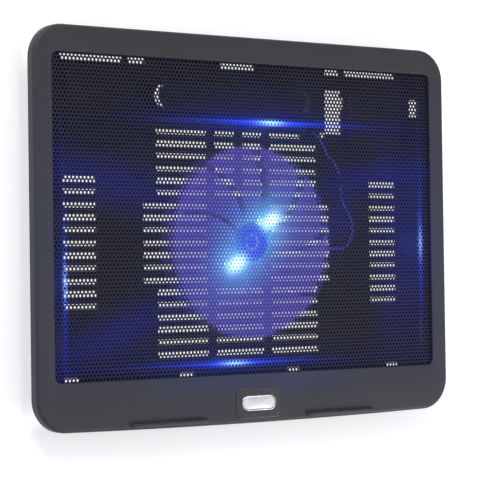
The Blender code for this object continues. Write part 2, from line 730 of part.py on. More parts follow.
def vent_boxes():
    """The slits along the floor's edges, which run on under the bezel."""
    low = FLOOR_UNDER - OVERCUT
    floor_high = FLOOR_TOP + SKIM
    wall_high = FLOOR_TOP + SIDE_VENT_RISE
    rear = WINDOW_REAR - REAR_VENT_INSET
    front = WINDOW_FRONT + FRONT_VENT_INSET
    side = WINDOW_HALF - SIDE_VENT_INSET
    half = MIDDLE_VENT_LENGTH / 2
    found = [((-half, rear, low), (half, rear + REAR_VENT_DEPTH, floor_high))]
    along_rear = (
        (LEG_VENT_INNER, LEG_VENT_INNER + LEG_VENT_LENGTH),
        (SMALL_VENT_INNER, SMALL_VENT_OUTER),
    )
    outer_front = HALF_WIDTH - FOOT_SIDE_INSET + FOOT_RADIUS - FRONT_VENT_FOOT_LAP
    along_front = (
        (outer_front, outer_front + FRONT_VENT_LENGTH),
        (FRONT_VENT_INNER, FRONT_VENT_INNER + FRONT_VENT_LENGTH),
    )
    along_side = (
        (WINDOW_REAR - REAR_SIDE_VENT[1], WINDOW_REAR - REAR_SIDE_VENT[0]),
        (FAN_Y + MIDDLE_SIDE_VENT[0], FAN_Y + MIDDLE_SIDE_VENT[1]),
        (WINDOW_FRONT + FRONT_SIDE_VENT[0], WINDOW_FRONT + FRONT_SIDE_VENT[1]),
    )
    for sign in (-1, 1):
        for x0, x1 in along_rear:
            low_x, high_x = sorted((sign * x0, sign * x1))
            found.append(((low_x, rear, low), (high_x, rear + REAR_VENT_DEPTH, floor_high)))
        for x0, x1 in along_front:
            low_x, high_x = sorted((sign * x0, sign * x1))
            found.append(((low_x, front - FRONT_VENT_DEPTH, low), (high_x, front, floor_high)))
        for y0, y1 in along_side:
            low_x, high_x = sorted((sign * side, sign * (side + SIDE_VENT_WIDTH)))
            found.append(((low_x, y0, low), (high_x, y1, wall_high)))
    return found


def duct_boxes():
    """Upright ribs that box in the air around the fan: one wall on each side of it, with a break in
    the rear wall for the cable hole."""
    side = WINDOW_HALF - DUCT_SIDE_INSET
    half = RIB_THICKNESS / 2
    reach = max(
        (SLOT_REAR_LIMIT - SLOT_FRONT_LIMIT) / 2 + DUCT_END_GAP, FAN_RADIUS + DUCT_FAN_CLEARANCE
    )
    rear = FAN_Y + reach
    front = FAN_Y - reach
    low = FLOOR_TOP - BITE
    high = MESH_UNDER - DUCT_TO_MESH
    break_left = min(GLAND_X - GLAND_KEEP_OUT, TRAY_RIGHT)
    break_right = POCKET_INNER_X + half
    walls = [
        ((-side - half, front, low), (-side + half, rear, high)),
        ((side - half, front, low), (side + half, rear, high)),
        ((-side, front - half, low), (side, front + half, high)),
        ((-side, rear - half, low), (break_left, rear + half, high)),
        ((break_right, rear - half, low), (side, rear + half, high)),
    ]
    return walls


def pocket_boxes(margin, low, high):
    """The two leg pockets, grown by a margin."""
    return [
        ((sign * LEG_X - POCKET_HALF - margin, POCKET_FRONT - margin, low),
         (sign * LEG_X + POCKET_HALF + margin, POCKET_REAR + margin, high))
        for sign in (-1, 1)
    ]


def along_pivot(sign):
    """Where an upright cylinder lies along a leg's pivot."""
    centre = Matrix.Translation((sign * LEG_X, LEG_PIVOT_Y, LEG_PIVOT_Z))
    return centre @ Matrix.Rotation(math.pi / 2, 4, "Y")


def build_bottom_shell():
    band_under = SHELL_TOP - BAND_HEIGHT
    rings = [
        (pad_outline(UNDERSIDE_TAPER), FLOOR_UNDER),
        (pad_outline(SHELL_STEP), band_under),
        (pad_outline(SHELL_STEP), SHELL_TOP),
    ]
    shell = new_object("bottom_shell", loft("bottom_shell", rings, True), SHELL_PLASTIC)
    thicken(shell, SHELL_WALL)

    for name, corners in (
        ("pocket_blocks", pocket_boxes(POCKET_WALL, FLOOR_UNDER + BITE, POCKET_CEILING + POCKET_ROOF)),
        ("duct_side_walls", duct_boxes()[:2]),
        ("duct_end_walls", duct_boxes()[2:]),
    ):
        join(shell, new_object(name, boxes(name, corners)))

    tray_top = TRAY_CEILING + TRAY_WALL
    block = plate(
        "tray_block",
        [stadium(TRAY_LEFT - TRAY_WALL, TRAY_RIGHT + TRAY_WALL, TRAY_Y, TRAY_HALF_DEPTH + TRAY_WALL)],
        tray_top - FLOOR_UNDER - BITE,
    )
    block.location.z = FLOOR_UNDER + BITE
    join(shell, block)

    post_reach = FAN_RADIUS + POST_SPACING
    places = [
        polar(post_reach, side + turn, (0.0, FAN_Y))
        for side in (0.0, math.pi)
        for turn in (-POST_ANGLE, POST_ANGLE)
    ]
    posts = cylinders("mesh_posts", places, POST_RADIUS, FLOOR_TOP - BITE, MESH_UNDER - GAP, 16)
    join(shell, new_object("mesh_posts", posts))
    bosses = cylinders("shell_bosses", CASING_SCREWS, BOSS_RADIUS, FLOOR_UNDER + BITE, BOSS_TOP)
    join(shell, new_object("shell_bosses", bosses))

    below = FLOOR_UNDER - OVERCUT
    cut(shell, new_object("pockets", boxes("pockets", pocket_boxes(0.0, below, POCKET_CEILING))))
    wells = cylinders("screw_wells", CASING_SCREWS, SCREW_HEAD_RADIUS + GAP, below, BOSS_SEAT)
    cut(shell, new_object("screw_wells", wells))
    shanks = cylinders("screw_holes", CASING_SCREWS, SCREW_SHANK_RADIUS + GAP, below, BOSS_TOP + OVERCUT, 8)
    cut(shell, new_object("screw_holes", shanks))

    tray_outline = stadium(TRAY_LEFT, TRAY_RIGHT, TRAY_Y, TRAY_HALF_DEPTH)
    tray = plate("tray_hollow", [tray_outline], tray_top + OVERCUT - below)
    tray.location.z = below
    cut(shell, tray)
    roof_outline = stadium(
        TRAY_LEFT + TRAY_CRESCENT, TRAY_RIGHT - TRAY_CRESCENT, TRAY_Y, TRAY_HALF_DEPTH + TRAY_WALL / 2
    )
    roof = plate("tray_roof", [roof_outline], TRAY_WALL - TRAY_ROOF_STEP)
    roof.location.z = TRAY_CEILING
    join(shell, roof)

    through = FLOOR_TOP + HOLE_CUT_RISE
    hole = boxes("cable_hole", [((HOLE_LEFT, HOLE_FRONT, below), (HOLE_RIGHT, HOLE_REAR, through))])
    cut(shell, new_object("cable_hole", hole))
    nicks = boxes(
        "cable_hole_nicks",
        [((HOLE_LEFT - LEFT_NICK_WIDTH, HOLE_FRONT - LEFT_NICK_LENGTH, below),
          (HOLE_LEFT + OVERCUT, HOLE_FRONT + SKIM, through)),
         ((HOLE_RIGHT - OVERCUT, HOLE_REAR - RIGHT_NICK[1], below),
          (HOLE_RIGHT + RIGHT_NICK_WIDTH, HOLE_REAR - RIGHT_NICK[0], through))],
    )
    cut(shell, new_object("cable_hole_nicks", nicks))
    above = FLOOR_TOP + OVERCUT
    gland_hole = cylinders("gland_hole", [(GLAND_X, GLAND_Y)], GLAND_RADIUS + GAP, below, above)
    cut(shell, new_object("gland_hole", gland_hole))
    sockets = cylinders("foot_sockets", FEET, FOOT_RADIUS + GAP, below, FLOOR_UNDER + FOOT_SOCKET, 24)
    cut(shell, new_object("foot_sockets", sockets))
    motor_holes = cylinders(
        "motor_screw_holes", motor_screw_places(), SCREW_SHANK_RADIUS + GAP, below, FLOOR_TOP + OVERCUT, 12
    )
    cut(shell, new_object("motor_screw_holes", motor_holes))

    pin_reach = POCKET_HALF + PIN_SEAT + GAP
    for sign in (-1, 1):
        bore = cylinders("pin_hole", [(0.0, 0.0)], PIN_RADIUS + GAP, -pin_reach, pin_reach, 16)
        tool = new_object(f"pin_hole_{sign}", bore)
        tool.matrix_world = along_pivot(sign)
        cut(shell, tool)

    cut(shell, new_object("air_slots", boxes("air_slots", slot_boxes())))
    cut(shell, new_object("edge_vents", boxes("edge_vents", vent_boxes())))


def build_feet():
    top = FLOOR_UNDER + FOOT_SOCKET - GAP
    profile = [
        (0.0, top),
        (FOOT_RADIUS, top),
        (FOOT_RADIUS, FOOT_CHAMFER),
        (FOOT_RADIUS - FOOT_CHAMFER, 0.0),
        (0.0, 0.0),
    ]
    first = baked("foot_mesh", turned("foot_turn", profile, RUBBER, steps=24))
    smooth(first)
    for name, (x, y) in zip(("front_left", "front_right", "rear_left", "rear_right"), FEET):
        foot = new_object("foot_" + name, first.data, RUBBER)
        foot.location = (x, y, 0.0)
    bpy.data.objects.remove(first)


def build_cable_gland():
    top = FLOOR_TOP + GAP + GLAND_FLANGE_HEIGHT
    bore = LEAD_RADIUS + GAP
    flange = GLAND_RADIUS + GLAND_FLANGE
    profile = [
        (flange, top),
        (flange, FLOOR_TOP + GAP),
        (GLAND_RADIUS, FLOOR_TOP + GAP),
        (GLAND_RADIUS, FLOOR_UNDER),
        (bore, FLOOR_UNDER),
        (bore, top),
    ]
    gland = turned("cable_gland", profile, RUBBER, closed=True, steps=16)
    gland.location = (GLAND_X, GLAND_Y, 0.0)


# ---------------------------------------------------------------- rear legs
def leg_section():
    """The leg's side view, from its round knuckle at the pivot to its tip, as (y, z) from the pivot."""
    half = LEG_THICKNESS / 2
    round_end = [polar(half, math.radians(a)) for a in range(-90, 91, 15)]
    tip = -LEG_LENGTH
    corner = LEG_TIP_CHAMFER
    tip_end = [(tip + corner, half), (tip, half - corner), (tip, -half + corner), (tip + corner, -half)]
    return round_end + tip_end


def upright_along_x(x):
    """Turns a plate drawn in (y, z) so that its thickness runs along X, from x."""
    return Matrix(((0, 0, 1, x), (1, 0, 0, 0), (0, 1, 0, 0), (0, 0, 0, 1)))


def build_legs():
    for side, sign in (("left", -1), ("right", 1)):
        pivot = bpy.data.objects.new(f"leg_{side}_pivot", None)
        parts.objects.link(pivot)
        pivot.location = (sign * LEG_X, LEG_PIVOT_Y, LEG_PIVOT_Z)

        section = [leg_section(), circle(PIN_RADIUS + GAP, 16)]
        leg = plate(f"rear_leg_{side}", section, LEG_WIDTH, FRAME_PLASTIC)
        leg.data.transform(upright_along_x(-LEG_WIDTH / 2))
        leg.parent = pivot
        half = LEG_THICKNESS / 2
        reach = half + OVERCUT
        notch = cylinders(f"leg_notch_{side}", [(0.0, 0.0)], LEG_NOTCH_RADIUS, -reach, reach, 24)
        notch_object = new_object(f"leg_notch_{side}", notch)
        notch_object.parent = pivot
        notch_object.location = (0.0, -LEG_LENGTH - LEG_NOTCH_RADIUS + LEG_NOTCH_DEPTH, 0.0)
        cut(leg, notch_object)
        margin = LEG_RECESS_MARGIN
        recess = boxes(
            f"leg_recess_{side}",
            [((-LEG_WIDTH / 2 + margin, -LEG_LENGTH + 2 * margin, -reach),
              (LEG_WIDTH / 2 - margin, -margin, -half + LEG_RECESS_DEPTH))],
        )
        recess_object = new_object(f"leg_recess_{side}", recess)
        recess_object.parent = pivot
        cut(leg, recess_object)

        for mark, x in (("a", -1), ("b", 1)):
            inner = LEG_NOTCH_RADIUS + PAD_NOTCH_GAP
            outer = LEG_WIDTH / 2 - PAD_INSET
            low_x, high_x = sorted((x * inner, x * outer))
            pad = new_object(
                f"leg_pad_{side}_{mark}",
                boxes(
                    f"leg_pad_{side}_{mark}",
                    [((low_x, -LEG_LENGTH - GAP - PAD_LENGTH, -half + PAD_INSET),
                      (high_x, -LEG_LENGTH - GAP, half - PAD_INSET))],
                ),
                RUBBER,
            )
            pad.parent = pivot
            rounding = pad.modifiers.new("rounding", "BEVEL")
            rounding.width = PAD_ROUNDING
            rounding.segments = 2

        reach = POCKET_HALF + PIN_SEAT
        rod = cylinders(f"leg_pin_{side}", [(0.0, 0.0)], PIN_RADIUS, -reach, reach, 16)
        pin = new_object(f"leg_pin_{side}", rod, STEEL)
        pin.matrix_world = along_pivot(sign)
        smooth(pin)


# ---------------------------------------------------------------- screws
def screw_mesh(name, head_radius, head_height, length):
    """A pan-head screw with a cross recess, pointing up +Z from the underside of its head at Z 0."""
    profile = [
        (0.0, length),
        (SCREW_SHANK_RADIUS, length),
        (SCREW_SHANK_RADIUS, 0.0),
        (head_radius, 0.0),
        (head_radius, -head_height * SCREW_EDGE_HEIGHT),
        (head_radius * SCREW_FACE, -head_height),
        (0.0, -head_height),
    ]
    body = turned(name + "_turn", profile, SCREW_STEEL, steps=12)
    arm = head_radius * SCREW_CROSS_REACH
    half = SCREW_CROSS_WIDTH / 2
    cross = new_object(
        name + "_cross",
        boxes(
            name + "_cross",
            [((-arm, -half, -head_height - OVERCUT), (arm, half, -head_height + SCREW_RECESS))],
        ),
    )
    other = new_object(name + "_cross_b", cross.data)
    other.rotation_euler.z = math.pi / 2
    cut(body, cross)
    cut(body, other)
    made = baked(name, body)
    smooth(made)
    mesh = made.data
    bpy.data.objects.remove(made)
    return mesh


def build_casing_screws():
    length = BEZEL_UNDER - PILOT_STOP - GAP - BOSS_SEAT
    mesh = screw_mesh("casing_screw", SCREW_HEAD_RADIUS, SCREW_HEAD_HEIGHT, length)
    for number, (x, y) in enumerate(CASING_SCREWS, 1):
        screw = new_object(f"casing_screw_{number}", mesh, SCREW_STEEL)
        screw.location = (x, y, BOSS_SEAT - GAP)


def motor_screw_places():
    return [polar(MOTOR_SCREW_CIRCLE, angle, (0.0, FAN_Y)) for angle in MOTOR_SCREW_ANGLES]


def build_motor_screws():
    length = BASE_TOP - FLOOR_UNDER
    mesh = screw_mesh("motor_screw", MOTOR_HEAD_RADIUS, MOTOR_HEAD_HEIGHT, length)
    for number, (x, y) in enumerate(motor_screw_places(), 1):
        screw = new_object(f"motor_screw_{number}", mesh, SCREW_STEEL)
        screw.location = (x, y, BASE_TOP + GAP)
        screw.rotation_euler.x = math.pi


# ---------------------------------------------------------------- motor, fixed half
def build_motor_base():
    profile = [
        (0.0, BASE_UNDER + MOTOR_BASE_FLOOR),
        (TUBE_BORE, BASE_UNDER + MOTOR_BASE_FLOOR),
        (TUBE_BORE, TUBE_TOP),
        (TUBE_RADIUS, TUBE_TOP),
        (TUBE_RADIUS, BASE_TOP),
        (MOTOR_BASE_RADIUS, BASE_TOP),
        (MOTOR_BASE_RADIUS, BASE_UNDER),
        (0.0, BASE_UNDER),
    ]
    base = turned("motor_base", profile, SHELL_PLASTIC, steps=28)
    base.location.y = FAN_Y
    holes = cylinders(
        "motor_base_holes",
        motor_screw_places(),
        SCREW_SHANK_RADIUS + GAP,
        BASE_UNDER - OVERCUT,
        BASE_TOP + OVERCUT,
        12,
    )
    cut(base, new_object("motor_base_holes", holes))


def board_outline():
    """A disc with an arm out to each light."""
    half = BOARD_ARM_WIDTH / 2
    at_disc = math.asin(half / BOARD_RADIUS)
    at_end = math.asin(half / BOARD_ARM_REACH)
    steps = 10
    points = []
    for start, stop in zip(LED_ANGLES, (LED_ANGLES[1], LED_ANGLES[0] + math.tau)):
        points += [polar(BOARD_ARM_REACH, start - at_end), polar(BOARD_ARM_REACH, start + at_end)]
        turn = stop - start - 2 * at_disc
        points += [polar(BOARD_RADIUS, start + at_disc + turn * i / steps) for i in range(steps + 1)]
    return points


def build_board():
    loops = [board_outline(), circle(TUBE_RADIUS + GAP)]
    board = plate("motor_board", loops, BOARD_THICKNESS, BOARD_LACQUER)
    board.location = (0.0, FAN_Y, BOARD_UNDER)
    lens = LED_HEIGHT - LED_COLLAR
    profile = [(0.0, LED_HEIGHT)]
    for degrees in (60, 30):
        angle = math.radians(degrees)
        profile.append((LED_LENS_RADIUS * math.cos(angle), LED_COLLAR + lens * math.sin(angle)))
    profile += [
        (LED_LENS_RADIUS, LED_COLLAR),
        (LED_RADIUS, LED_COLLAR),
        (LED_RADIUS, 0.0),
        (0.0, 0.0),
    ]
    for number, angle in enumerate(LED_ANGLES, 1):
        led = turned(f"led_{number}", profile, LED_EPOXY, steps=20)
        led.location = (*polar(LED_CIRCLE, angle, (0.0, FAN_Y)), LED_UNDER)


def stator_outline():
    """Four arms with curved shoes on a ring."""
    half = STATOR_ARM_WIDTH / 2
    at_ring = math.asin(half / STATOR_RING_RADIUS)
    at_shoe = math.asin(half / SHOE_RADIUS)
    shoe = STATOR_SHOE_ANGLE
    points = []
    for pole in range(POLES):
        middle = math.tau * pole / POLES
        arm = [
            (STATOR_RING_RADIUS, -at_ring),
            (SHOE_RADIUS, -at_shoe),
            (SHOE_RADIUS, -shoe),
            (STATOR_RADIUS, -shoe),
            (STATOR_RADIUS, -shoe / 3),
            (STATOR_RADIUS, shoe / 3),
            (STATOR_RADIUS, shoe),
            (SHOE_RADIUS, shoe),
            (SHOE_RADIUS, at_shoe),
            (STATOR_RING_RADIUS, at_ring),
            (STATOR_RING_RADIUS, math.pi / POLES),
        ]
        points += [polar(radius, middle + angle) for radius, angle in arm]
    return points


def build_stator():
    stack = STATOR_TOP - STATOR_UNDER
    core = plate("stator_core", [stator_outline(), circle(STATOR_BORE)], stack, LAMINATION)
    core.location = (0.0, FAN_Y, STATOR_UNDER)
    inner_y = STATOR_ARM_WIDTH / 2 + GAP
    inner_z = stack / 2 + GAP
    outer_y = inner_y + WINDING
    outer_z = inner_z + WINDING
    middle_z = (STATOR_TOP + STATOR_UNDER) / 2
    short_y = outer_y - WINDING_CHAMFER
    short_z = outer_z - WINDING_CHAMFER
    outer = [
        (outer_y, -short_z),
        (outer_y, short_z),
        (short_y, outer_z),
        (-short_y, outer_z),
        (-outer_y, short_z),
        (-outer_y, -short_z),
        (-short_y, -outer_z),
        (short_y, -outer_z),
    ]
    inner = [(inner_y, -inner_z), (inner_y, inner_z), (-inner_y, inner_z), (-inner_y, -inner_z)]
    start = STATOR_RING_RADIUS + GAP
    length = math.sqrt(SHOE_RADIUS**2 - outer_y**2) - GAP - start
    for pole in range(POLES):
        coil = plate(f"coil_{pole + 1}", [outer, inner], length, COPPER)
        coil.data.transform(upright_along_x(start))
        coil.rotation_euler.z = math.tau * pole / POLES
        coil.location = (0.0, FAN_Y, middle_z)


def build_bearing():
    top = TUBE_TOP - GAP
    sleeve = ring("bearing_sleeve", SLEEVE_BORE, SLEEVE_RADIUS, SLEEVE_UNDER, top, BRONZE, steps=24)
    sleeve.location.y = FAN_Y


# ---------------------------------------------------------------- motor, turning half
def blade_mesh():
    """All blades as separate closed solids. A blade is a wide, swept and twisted vane: its angle about
    the axis grows with the radius by the sweep, and it climbs over its span from the trailing edge, at
    the foot of the blade, to the leading edge, at the top."""
    rows = 6
    columns = 4
    root = HUB_RADIUS - HUB_WALL / 2
    climb = BLADE_HEIGHT - BLADE_THICKNESS
    bm = bmesh.new()
    for blade in range(BLADES):
        grid = []
        for i in range(rows):
            share = i / (rows - 1)
            radius = root + (FAN_RADIUS - root) * share
            sweep = BLADE_SWEEP * share**BLADE_SWEEP_POWER
            line = []
            for j in range(columns):
                across = j / (columns - 1)
                angle = math.tau * blade / BLADES + sweep + BLADE_SPAN_ANGLE * (across - 0.5)
                drop = BLADE_BELLY * math.sin(math.pi * share) * (1 - across)
                height = BLADE_THICKNESS + climb * across**BLADE_CLIMB_POWER * (1 - drop)
                line.append(bm.verts.new((*polar(radius, angle), BLADE_UNDER + height)))
            grid.append(line)
        for a, b in zip(grid, grid[1:]):
            for j in range(columns - 1):
                bm.faces.new((a[j], b[j], b[j + 1], a[j + 1]))
    mesh = bpy.data.meshes.new("blades")
    bm.to_mesh(mesh)
    bm.free()
    return mesh


def build_rotor():
    axle = bpy.data.objects.new("fan_axle", None)
    parts.objects.link(axle)
    axle.location.y = FAN_Y
    socket = SHAFT_RADIUS + GAP
    profile = [
        (0.0, HUB_TOP),
        (HUB_RADIUS - HUB_CHAMFER, HUB_TOP),
        (HUB_RADIUS, HUB_TOP - HUB_CHAMFER),
        (HUB_RADIUS, HUB_UNDER),
        (HUB_BORE, HUB_UNDER),
        (HUB_BORE, HUB_CEILING),
        (socket, HUB_CEILING),
        (socket, HUB_CEILING + SHAFT_SEAT),
        (0.0, HUB_CEILING + SHAFT_SEAT),
    ]
    rotor = turned("fan_rotor", profile, BLADE_PLASTIC, steps=36)
    blades = new_object("fan_blades", blade_mesh())
    skin = blades.modifiers.new("wall", "SOLIDIFY")
    skin.thickness = BLADE_THICKNESS
    skin.offset = -1.0
    join(rotor, blades)

    yoke_profile = [
        (YOKE_RADIUS, YOKE_TOP),
        (YOKE_RADIUS, YOKE_UNDER),
        (YOKE_BORE, YOKE_UNDER),
        (YOKE_BORE, YOKE_CEILING),
        (socket, YOKE_CEILING),
        (socket, YOKE_TOP),
    ]
    yoke = turned("rotor_yoke", yoke_profile, STEEL, closed=True, steps=28)
    magnet = ring(
        "magnet_ring", MAGNET_BORE, MAGNET_RADIUS, YOKE_UNDER + GAP, YOKE_CEILING - GAP, FERRITE, steps=28
    )
    shaft_top = HUB_CEILING + SHAFT_SEAT - GAP
    shaft = turned(
        "motor_shaft",
        [(0.0, shaft_top), (SHAFT_RADIUS, shaft_top), (SHAFT_RADIUS, SHAFT_UNDER), (0.0, SHAFT_UNDER)],
        STEEL,
        steps=16,
    )
    clip_top = CLIP_UNDER + CLIP_HEIGHT
    clip = ring("shaft_clip", SLEEVE_BORE, SLEEVE_RADIUS - GAP, CLIP_UNDER, clip_top, STEEL, steps=20)
    for piece in (rotor, blades, yoke, magnet, shaft, clip):
        piece.parent = axle


# ---------------------------------------------------------------- lead
def lead_route():
    """The lead's way from the motor board, out under the blades along a bar of the floor, round the
    post and into the gland."""
    on_base = BASE_TOP + GAP + LEAD_RADIUS
    on_floor = FLOOR_TOP + GAP + LEAD_RADIUS
    straight_y = FAN_Y - LEAD_OFFSET
    start_x = math.sqrt(BOARD_RADIUS**2 - LEAD_OFFSET**2) + GAP
    route = [(x, straight_y, on_base) for x in (start_x, *LEAD_ON_BASE)]
    route += [(x, straight_y, on_floor) for x in LEAD_ON_FLOOR]
    route += [(x, FAN_Y + y, on_floor) for x, y in LEAD_BEND]
    route += [(GLAND_X + x, GLAND_Y + y, on_floor + z) for x, y, z in LEAD_RISE]
    route.append((GLAND_X, GLAND_Y, FLOOR_UNDER + LEAD_END))
    return route


def smooth_line(points, spacing):
    """Points a spacing apart on the Catmull-Rom curve through the given ones."""
    vectors = [Vector(p) for p in points]
    padded = [vectors[0] * 2 - vectors[1], *vectors, vectors[-1] * 2 - vectors[-2]]
    line = [vectors[0]]
    for a, b, c, d in zip(padded, padded[1:], padded[2:], padded[3:]):
        steps = max(1, round((c - b).length / spacing))
        for i in range(1, steps + 1):
            t = i / steps
            curved = (2 * a - 5 * b + 4 * c - d) * t**2 + (3 * b - a - 3 * c + d) * t**3
            line.append(0.5 * (2 * b + (c - a) * t + curved))
    return line


def build_lead():
    curve = bpy.data.curves.new("fan_lead", "CURVE")
    curve.dimensions = "3D"
    curve.bevel_depth = LEAD_RADIUS
    curve.bevel_resolution = 2
    curve.use_fill_caps = True
    line = smooth_line(lead_route(), LEAD_SPACING)
    spline = curve.splines.new("POLY")
    spline.points.add(len(line) - 1)
    for point, place in zip(spline.points, line):
        point.co = (*place, 1.0)
    lead = bpy.data.objects.new("fan_lead", curve)
    parts.objects.link(lead)
    curve.materials.append(LEAD_SLEEVE)


build_top_frame()
build_mesh_panel()
build_badge()
build_bottom_shell()
build_feet()
build_cable_gland()
build_legs()
build_casing_screws()
build_motor_base()
build_motor_screws()
build_board()
build_stator()
build_bearing()
build_rotor()
build_lead()
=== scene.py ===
"""Notebook cooling pad: fine surfaces, finishes, light and camera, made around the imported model."""

import math

import bpy
import bmesh
import numpy as np
from mathutils import Euler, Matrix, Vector


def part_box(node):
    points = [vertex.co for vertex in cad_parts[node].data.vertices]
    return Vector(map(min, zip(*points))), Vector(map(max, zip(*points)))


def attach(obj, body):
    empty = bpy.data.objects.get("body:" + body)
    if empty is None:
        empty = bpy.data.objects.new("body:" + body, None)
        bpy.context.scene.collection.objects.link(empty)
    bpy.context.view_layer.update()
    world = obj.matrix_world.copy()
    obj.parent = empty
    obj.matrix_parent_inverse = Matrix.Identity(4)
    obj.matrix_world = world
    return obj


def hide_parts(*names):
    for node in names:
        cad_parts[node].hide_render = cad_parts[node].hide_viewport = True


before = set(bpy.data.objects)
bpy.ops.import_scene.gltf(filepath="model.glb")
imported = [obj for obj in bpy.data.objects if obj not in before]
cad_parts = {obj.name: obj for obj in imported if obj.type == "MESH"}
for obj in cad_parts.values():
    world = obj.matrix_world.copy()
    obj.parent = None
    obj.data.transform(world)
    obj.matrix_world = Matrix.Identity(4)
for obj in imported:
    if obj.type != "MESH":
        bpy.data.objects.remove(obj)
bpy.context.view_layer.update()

# ---------------------------------------------------------------- sizes, in metres
FRAME_LOW, FRAME_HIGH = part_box("top_frame")
SHEET_LOW, SHEET_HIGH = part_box("mesh_panel")
ROTOR_LOW, ROTOR_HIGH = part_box("fan_rotor")
BADGE_LOW, BADGE_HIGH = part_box("badge_plate")
BAND_LOW, BAND_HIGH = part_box("badge_ring")
OVAL_LOW, OVAL_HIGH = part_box("badge_face")

STOP_HEIGHT = 0.003
BEZEL_TOP = FRAME_HIGH.z - STOP_HEIGHT
BEZEL_GAP = 0.0003
BEZEL_UNDER = SHEET_HIGH.z + BEZEL_GAP
PARTING = FRAME_LOW.z
FRAME_WALL = 0.0015
CORNER_RADIUS = 0.021
FRONT_BOW = 0.002
RIM_FILLET = 0.0022
LIP_FILLET = 0.0006
SKIRT_BEVEL = 0.0002
SKIRT_FOOT = 0.001
SHEET_LAP = 0.003
WINDOW_RADIUS = 0.0045
CORNER_STEPS = 14
FRONT_STEPS = 24
FILLET_STEPS = 6

HOLE_PITCH = 0.00272
HOLE_RADIUS = 0.00091
HOLE_SIDES = 12
SHEET_STRIPS = 4

STOP_INNER = 0.039
STOP_LENGTH = 0.0595
STOP_WIDTH = 0.0028
STOP_INSET = 0.0022
STOP_SINK = 0.0003
STOP_END = 0.004
STOP_STEPS = 41
STOP_SIDES = 17
STOP_ARCH = 0.7
BADGE_CORNER = 0.003
BADGE_EDGE = 0.0003
OVAL_STEPS = 18
OVAL_DOME = 0.0003

FAN_CENTRE = (ROTOR_LOW + ROTOR_HIGH) / 2
FAN_RADIUS = (ROTOR_HIGH.x - ROTOR_LOW.x) / 2
BLADES = 9
BLADE_HEIGHT = 0.0062
BLADE_WALL = 0.0009
BLADE_SPAN = math.radians(37)
BLADE_SWEEP = math.radians(26)
HUB_RADIUS = 0.0128
HUB_BORE = 0.0112
HUB_CAP = 0.0012
HUB_LIP = 0.0003
HUB_EDGE = 0.0008
HUB_DISH = 0.0003
HUB_RING_IN = 0.0038
HUB_RING_OUT = 0.0052
HUB_STEP = 0.0095
HUB_BEVEL = 0.0003
HUB_DROP = 0.0001
BLADE_ROOT = 0.0008
BLADE_ROWS = 14
BLADE_COLUMNS = 12
BLADE_HOLLOW = 0.14
HUB_TURNS = 72
FOOT_EDGE = 0.0006
FOOT_GROOVE = 0.0004
FOOT_TURNS = 40
LAMP_LEDGE = 0.4  # share of the height
LAMP_DOME = 0.8  # share of the radius
LAMP_TURNS = 32
RIB_TO_WINDOW = 0.0085
RIB_TO_FAN = 0.0785
RIB_TOP = PARTING

# How far the painted light of the two lights reaches, and which way it runs
BEAM_REACH = 0.030
BEAM_WIDTH = 0.0135
HUB_SHADE = 0.0085
HUB_SHADE_EDGE = 0.0035
HUB_LEAK = 0.12  # share of the beam that the hub lets through
DISC_EDGE = 0.0015
CORE_STRETCH = 1.6
CORE_TURN = math.radians(28)
RING_SOFTNESS = 0.0007
GLOW_FROM = 0.0036  # above the underside, where the shell's outside ends and its lit inside begins
GLOW_FULL = 0.0042

# The ribs' light
STREAK_CORE = 0.009
STREAK_FADE = 0.028
STREAK_REACH = 0.085
HAZE_REACH = 0.075
HAZE_SPREAD = 4.5  # of the streak's width
LEFT_RIB_LIGHT = (-0.033, 0.36)  # Y of its brightest point, and its power
RIGHT_RIB_LIGHT = (-0.009, 0.44)
REAR_RIB_LIGHT = (0.015, 1.3)  # X of its brightest point, and its power
FRONT_RIB_LIGHT = (-0.017, 0.85)
STRAY_BEAMS = (  # middle, turn in degrees, reach and width of the broad bands of haze
    ((-0.100, -0.064), 22.0, 0.055, 0.012),
    ((0.105, 0.036), 6.0, 0.050, 0.010),
    ((-0.105, 0.030), -12.0, 0.060, 0.014),
    ((0.075, 0.006), 60.0, 0.022, 0.012),
    ((0.124, -0.010), 90.0, 0.065, 0.015),
)

# The floor's own light
LIT_HALF = (0.150, 0.112, 0.0)  # half sizes of what is lit under the pad
LIT_EDGE = 0.012
LIT_UNDER_PAD = 0.80
LIT_OUTSIDE = 0.32
FLOOR_HALF = 3.0


# ---------------------------------------------------------------- mesh helpers
def grid_faces(rows, columns, wrap_rows=False, wrap_columns=False, first=0):
    """Quads over a grid of points numbered row by row."""
    row = np.arange(rows if wrap_rows else rows - 1)
    column = np.arange(columns if wrap_columns else columns - 1)
    row, column = (a.ravel() for a in np.meshgrid(row, column, indexing="ij"))
    next_row = (row + 1) % rows
    next_column = (column + 1) % columns
    corners = (
        row * columns + column,
        row * columns + next_column,
        next_row * columns + next_column,
        next_row * columns + column,
    )
    return np.stack(corners, 1) + first


def build_mesh(name, points, faces):
    """A mesh from points (n, 3) and arrays of faces, each array with its own number of corners."""
    mesh = bpy.data.meshes.new(name)
    corners = np.concatenate([f.ravel() for f in faces])
    sizes = np.concatenate([np.full(len(f), f.shape[1]) for f in faces])
    mesh.vertices.add(len(points))
    mesh.vertices.foreach_set("co", np.asarray(points, np.float32).ravel())
    mesh.loops.add(len(corners))
    mesh.loops.foreach_set("vertex_index", corners.astype(np.int32))
    mesh.polygons.add(len(sizes))
    mesh.polygons.foreach_set("loop_start", (np.cumsum(sizes) - sizes).astype(np.int32))
    mesh.update(calc_edges=True)
    return mesh


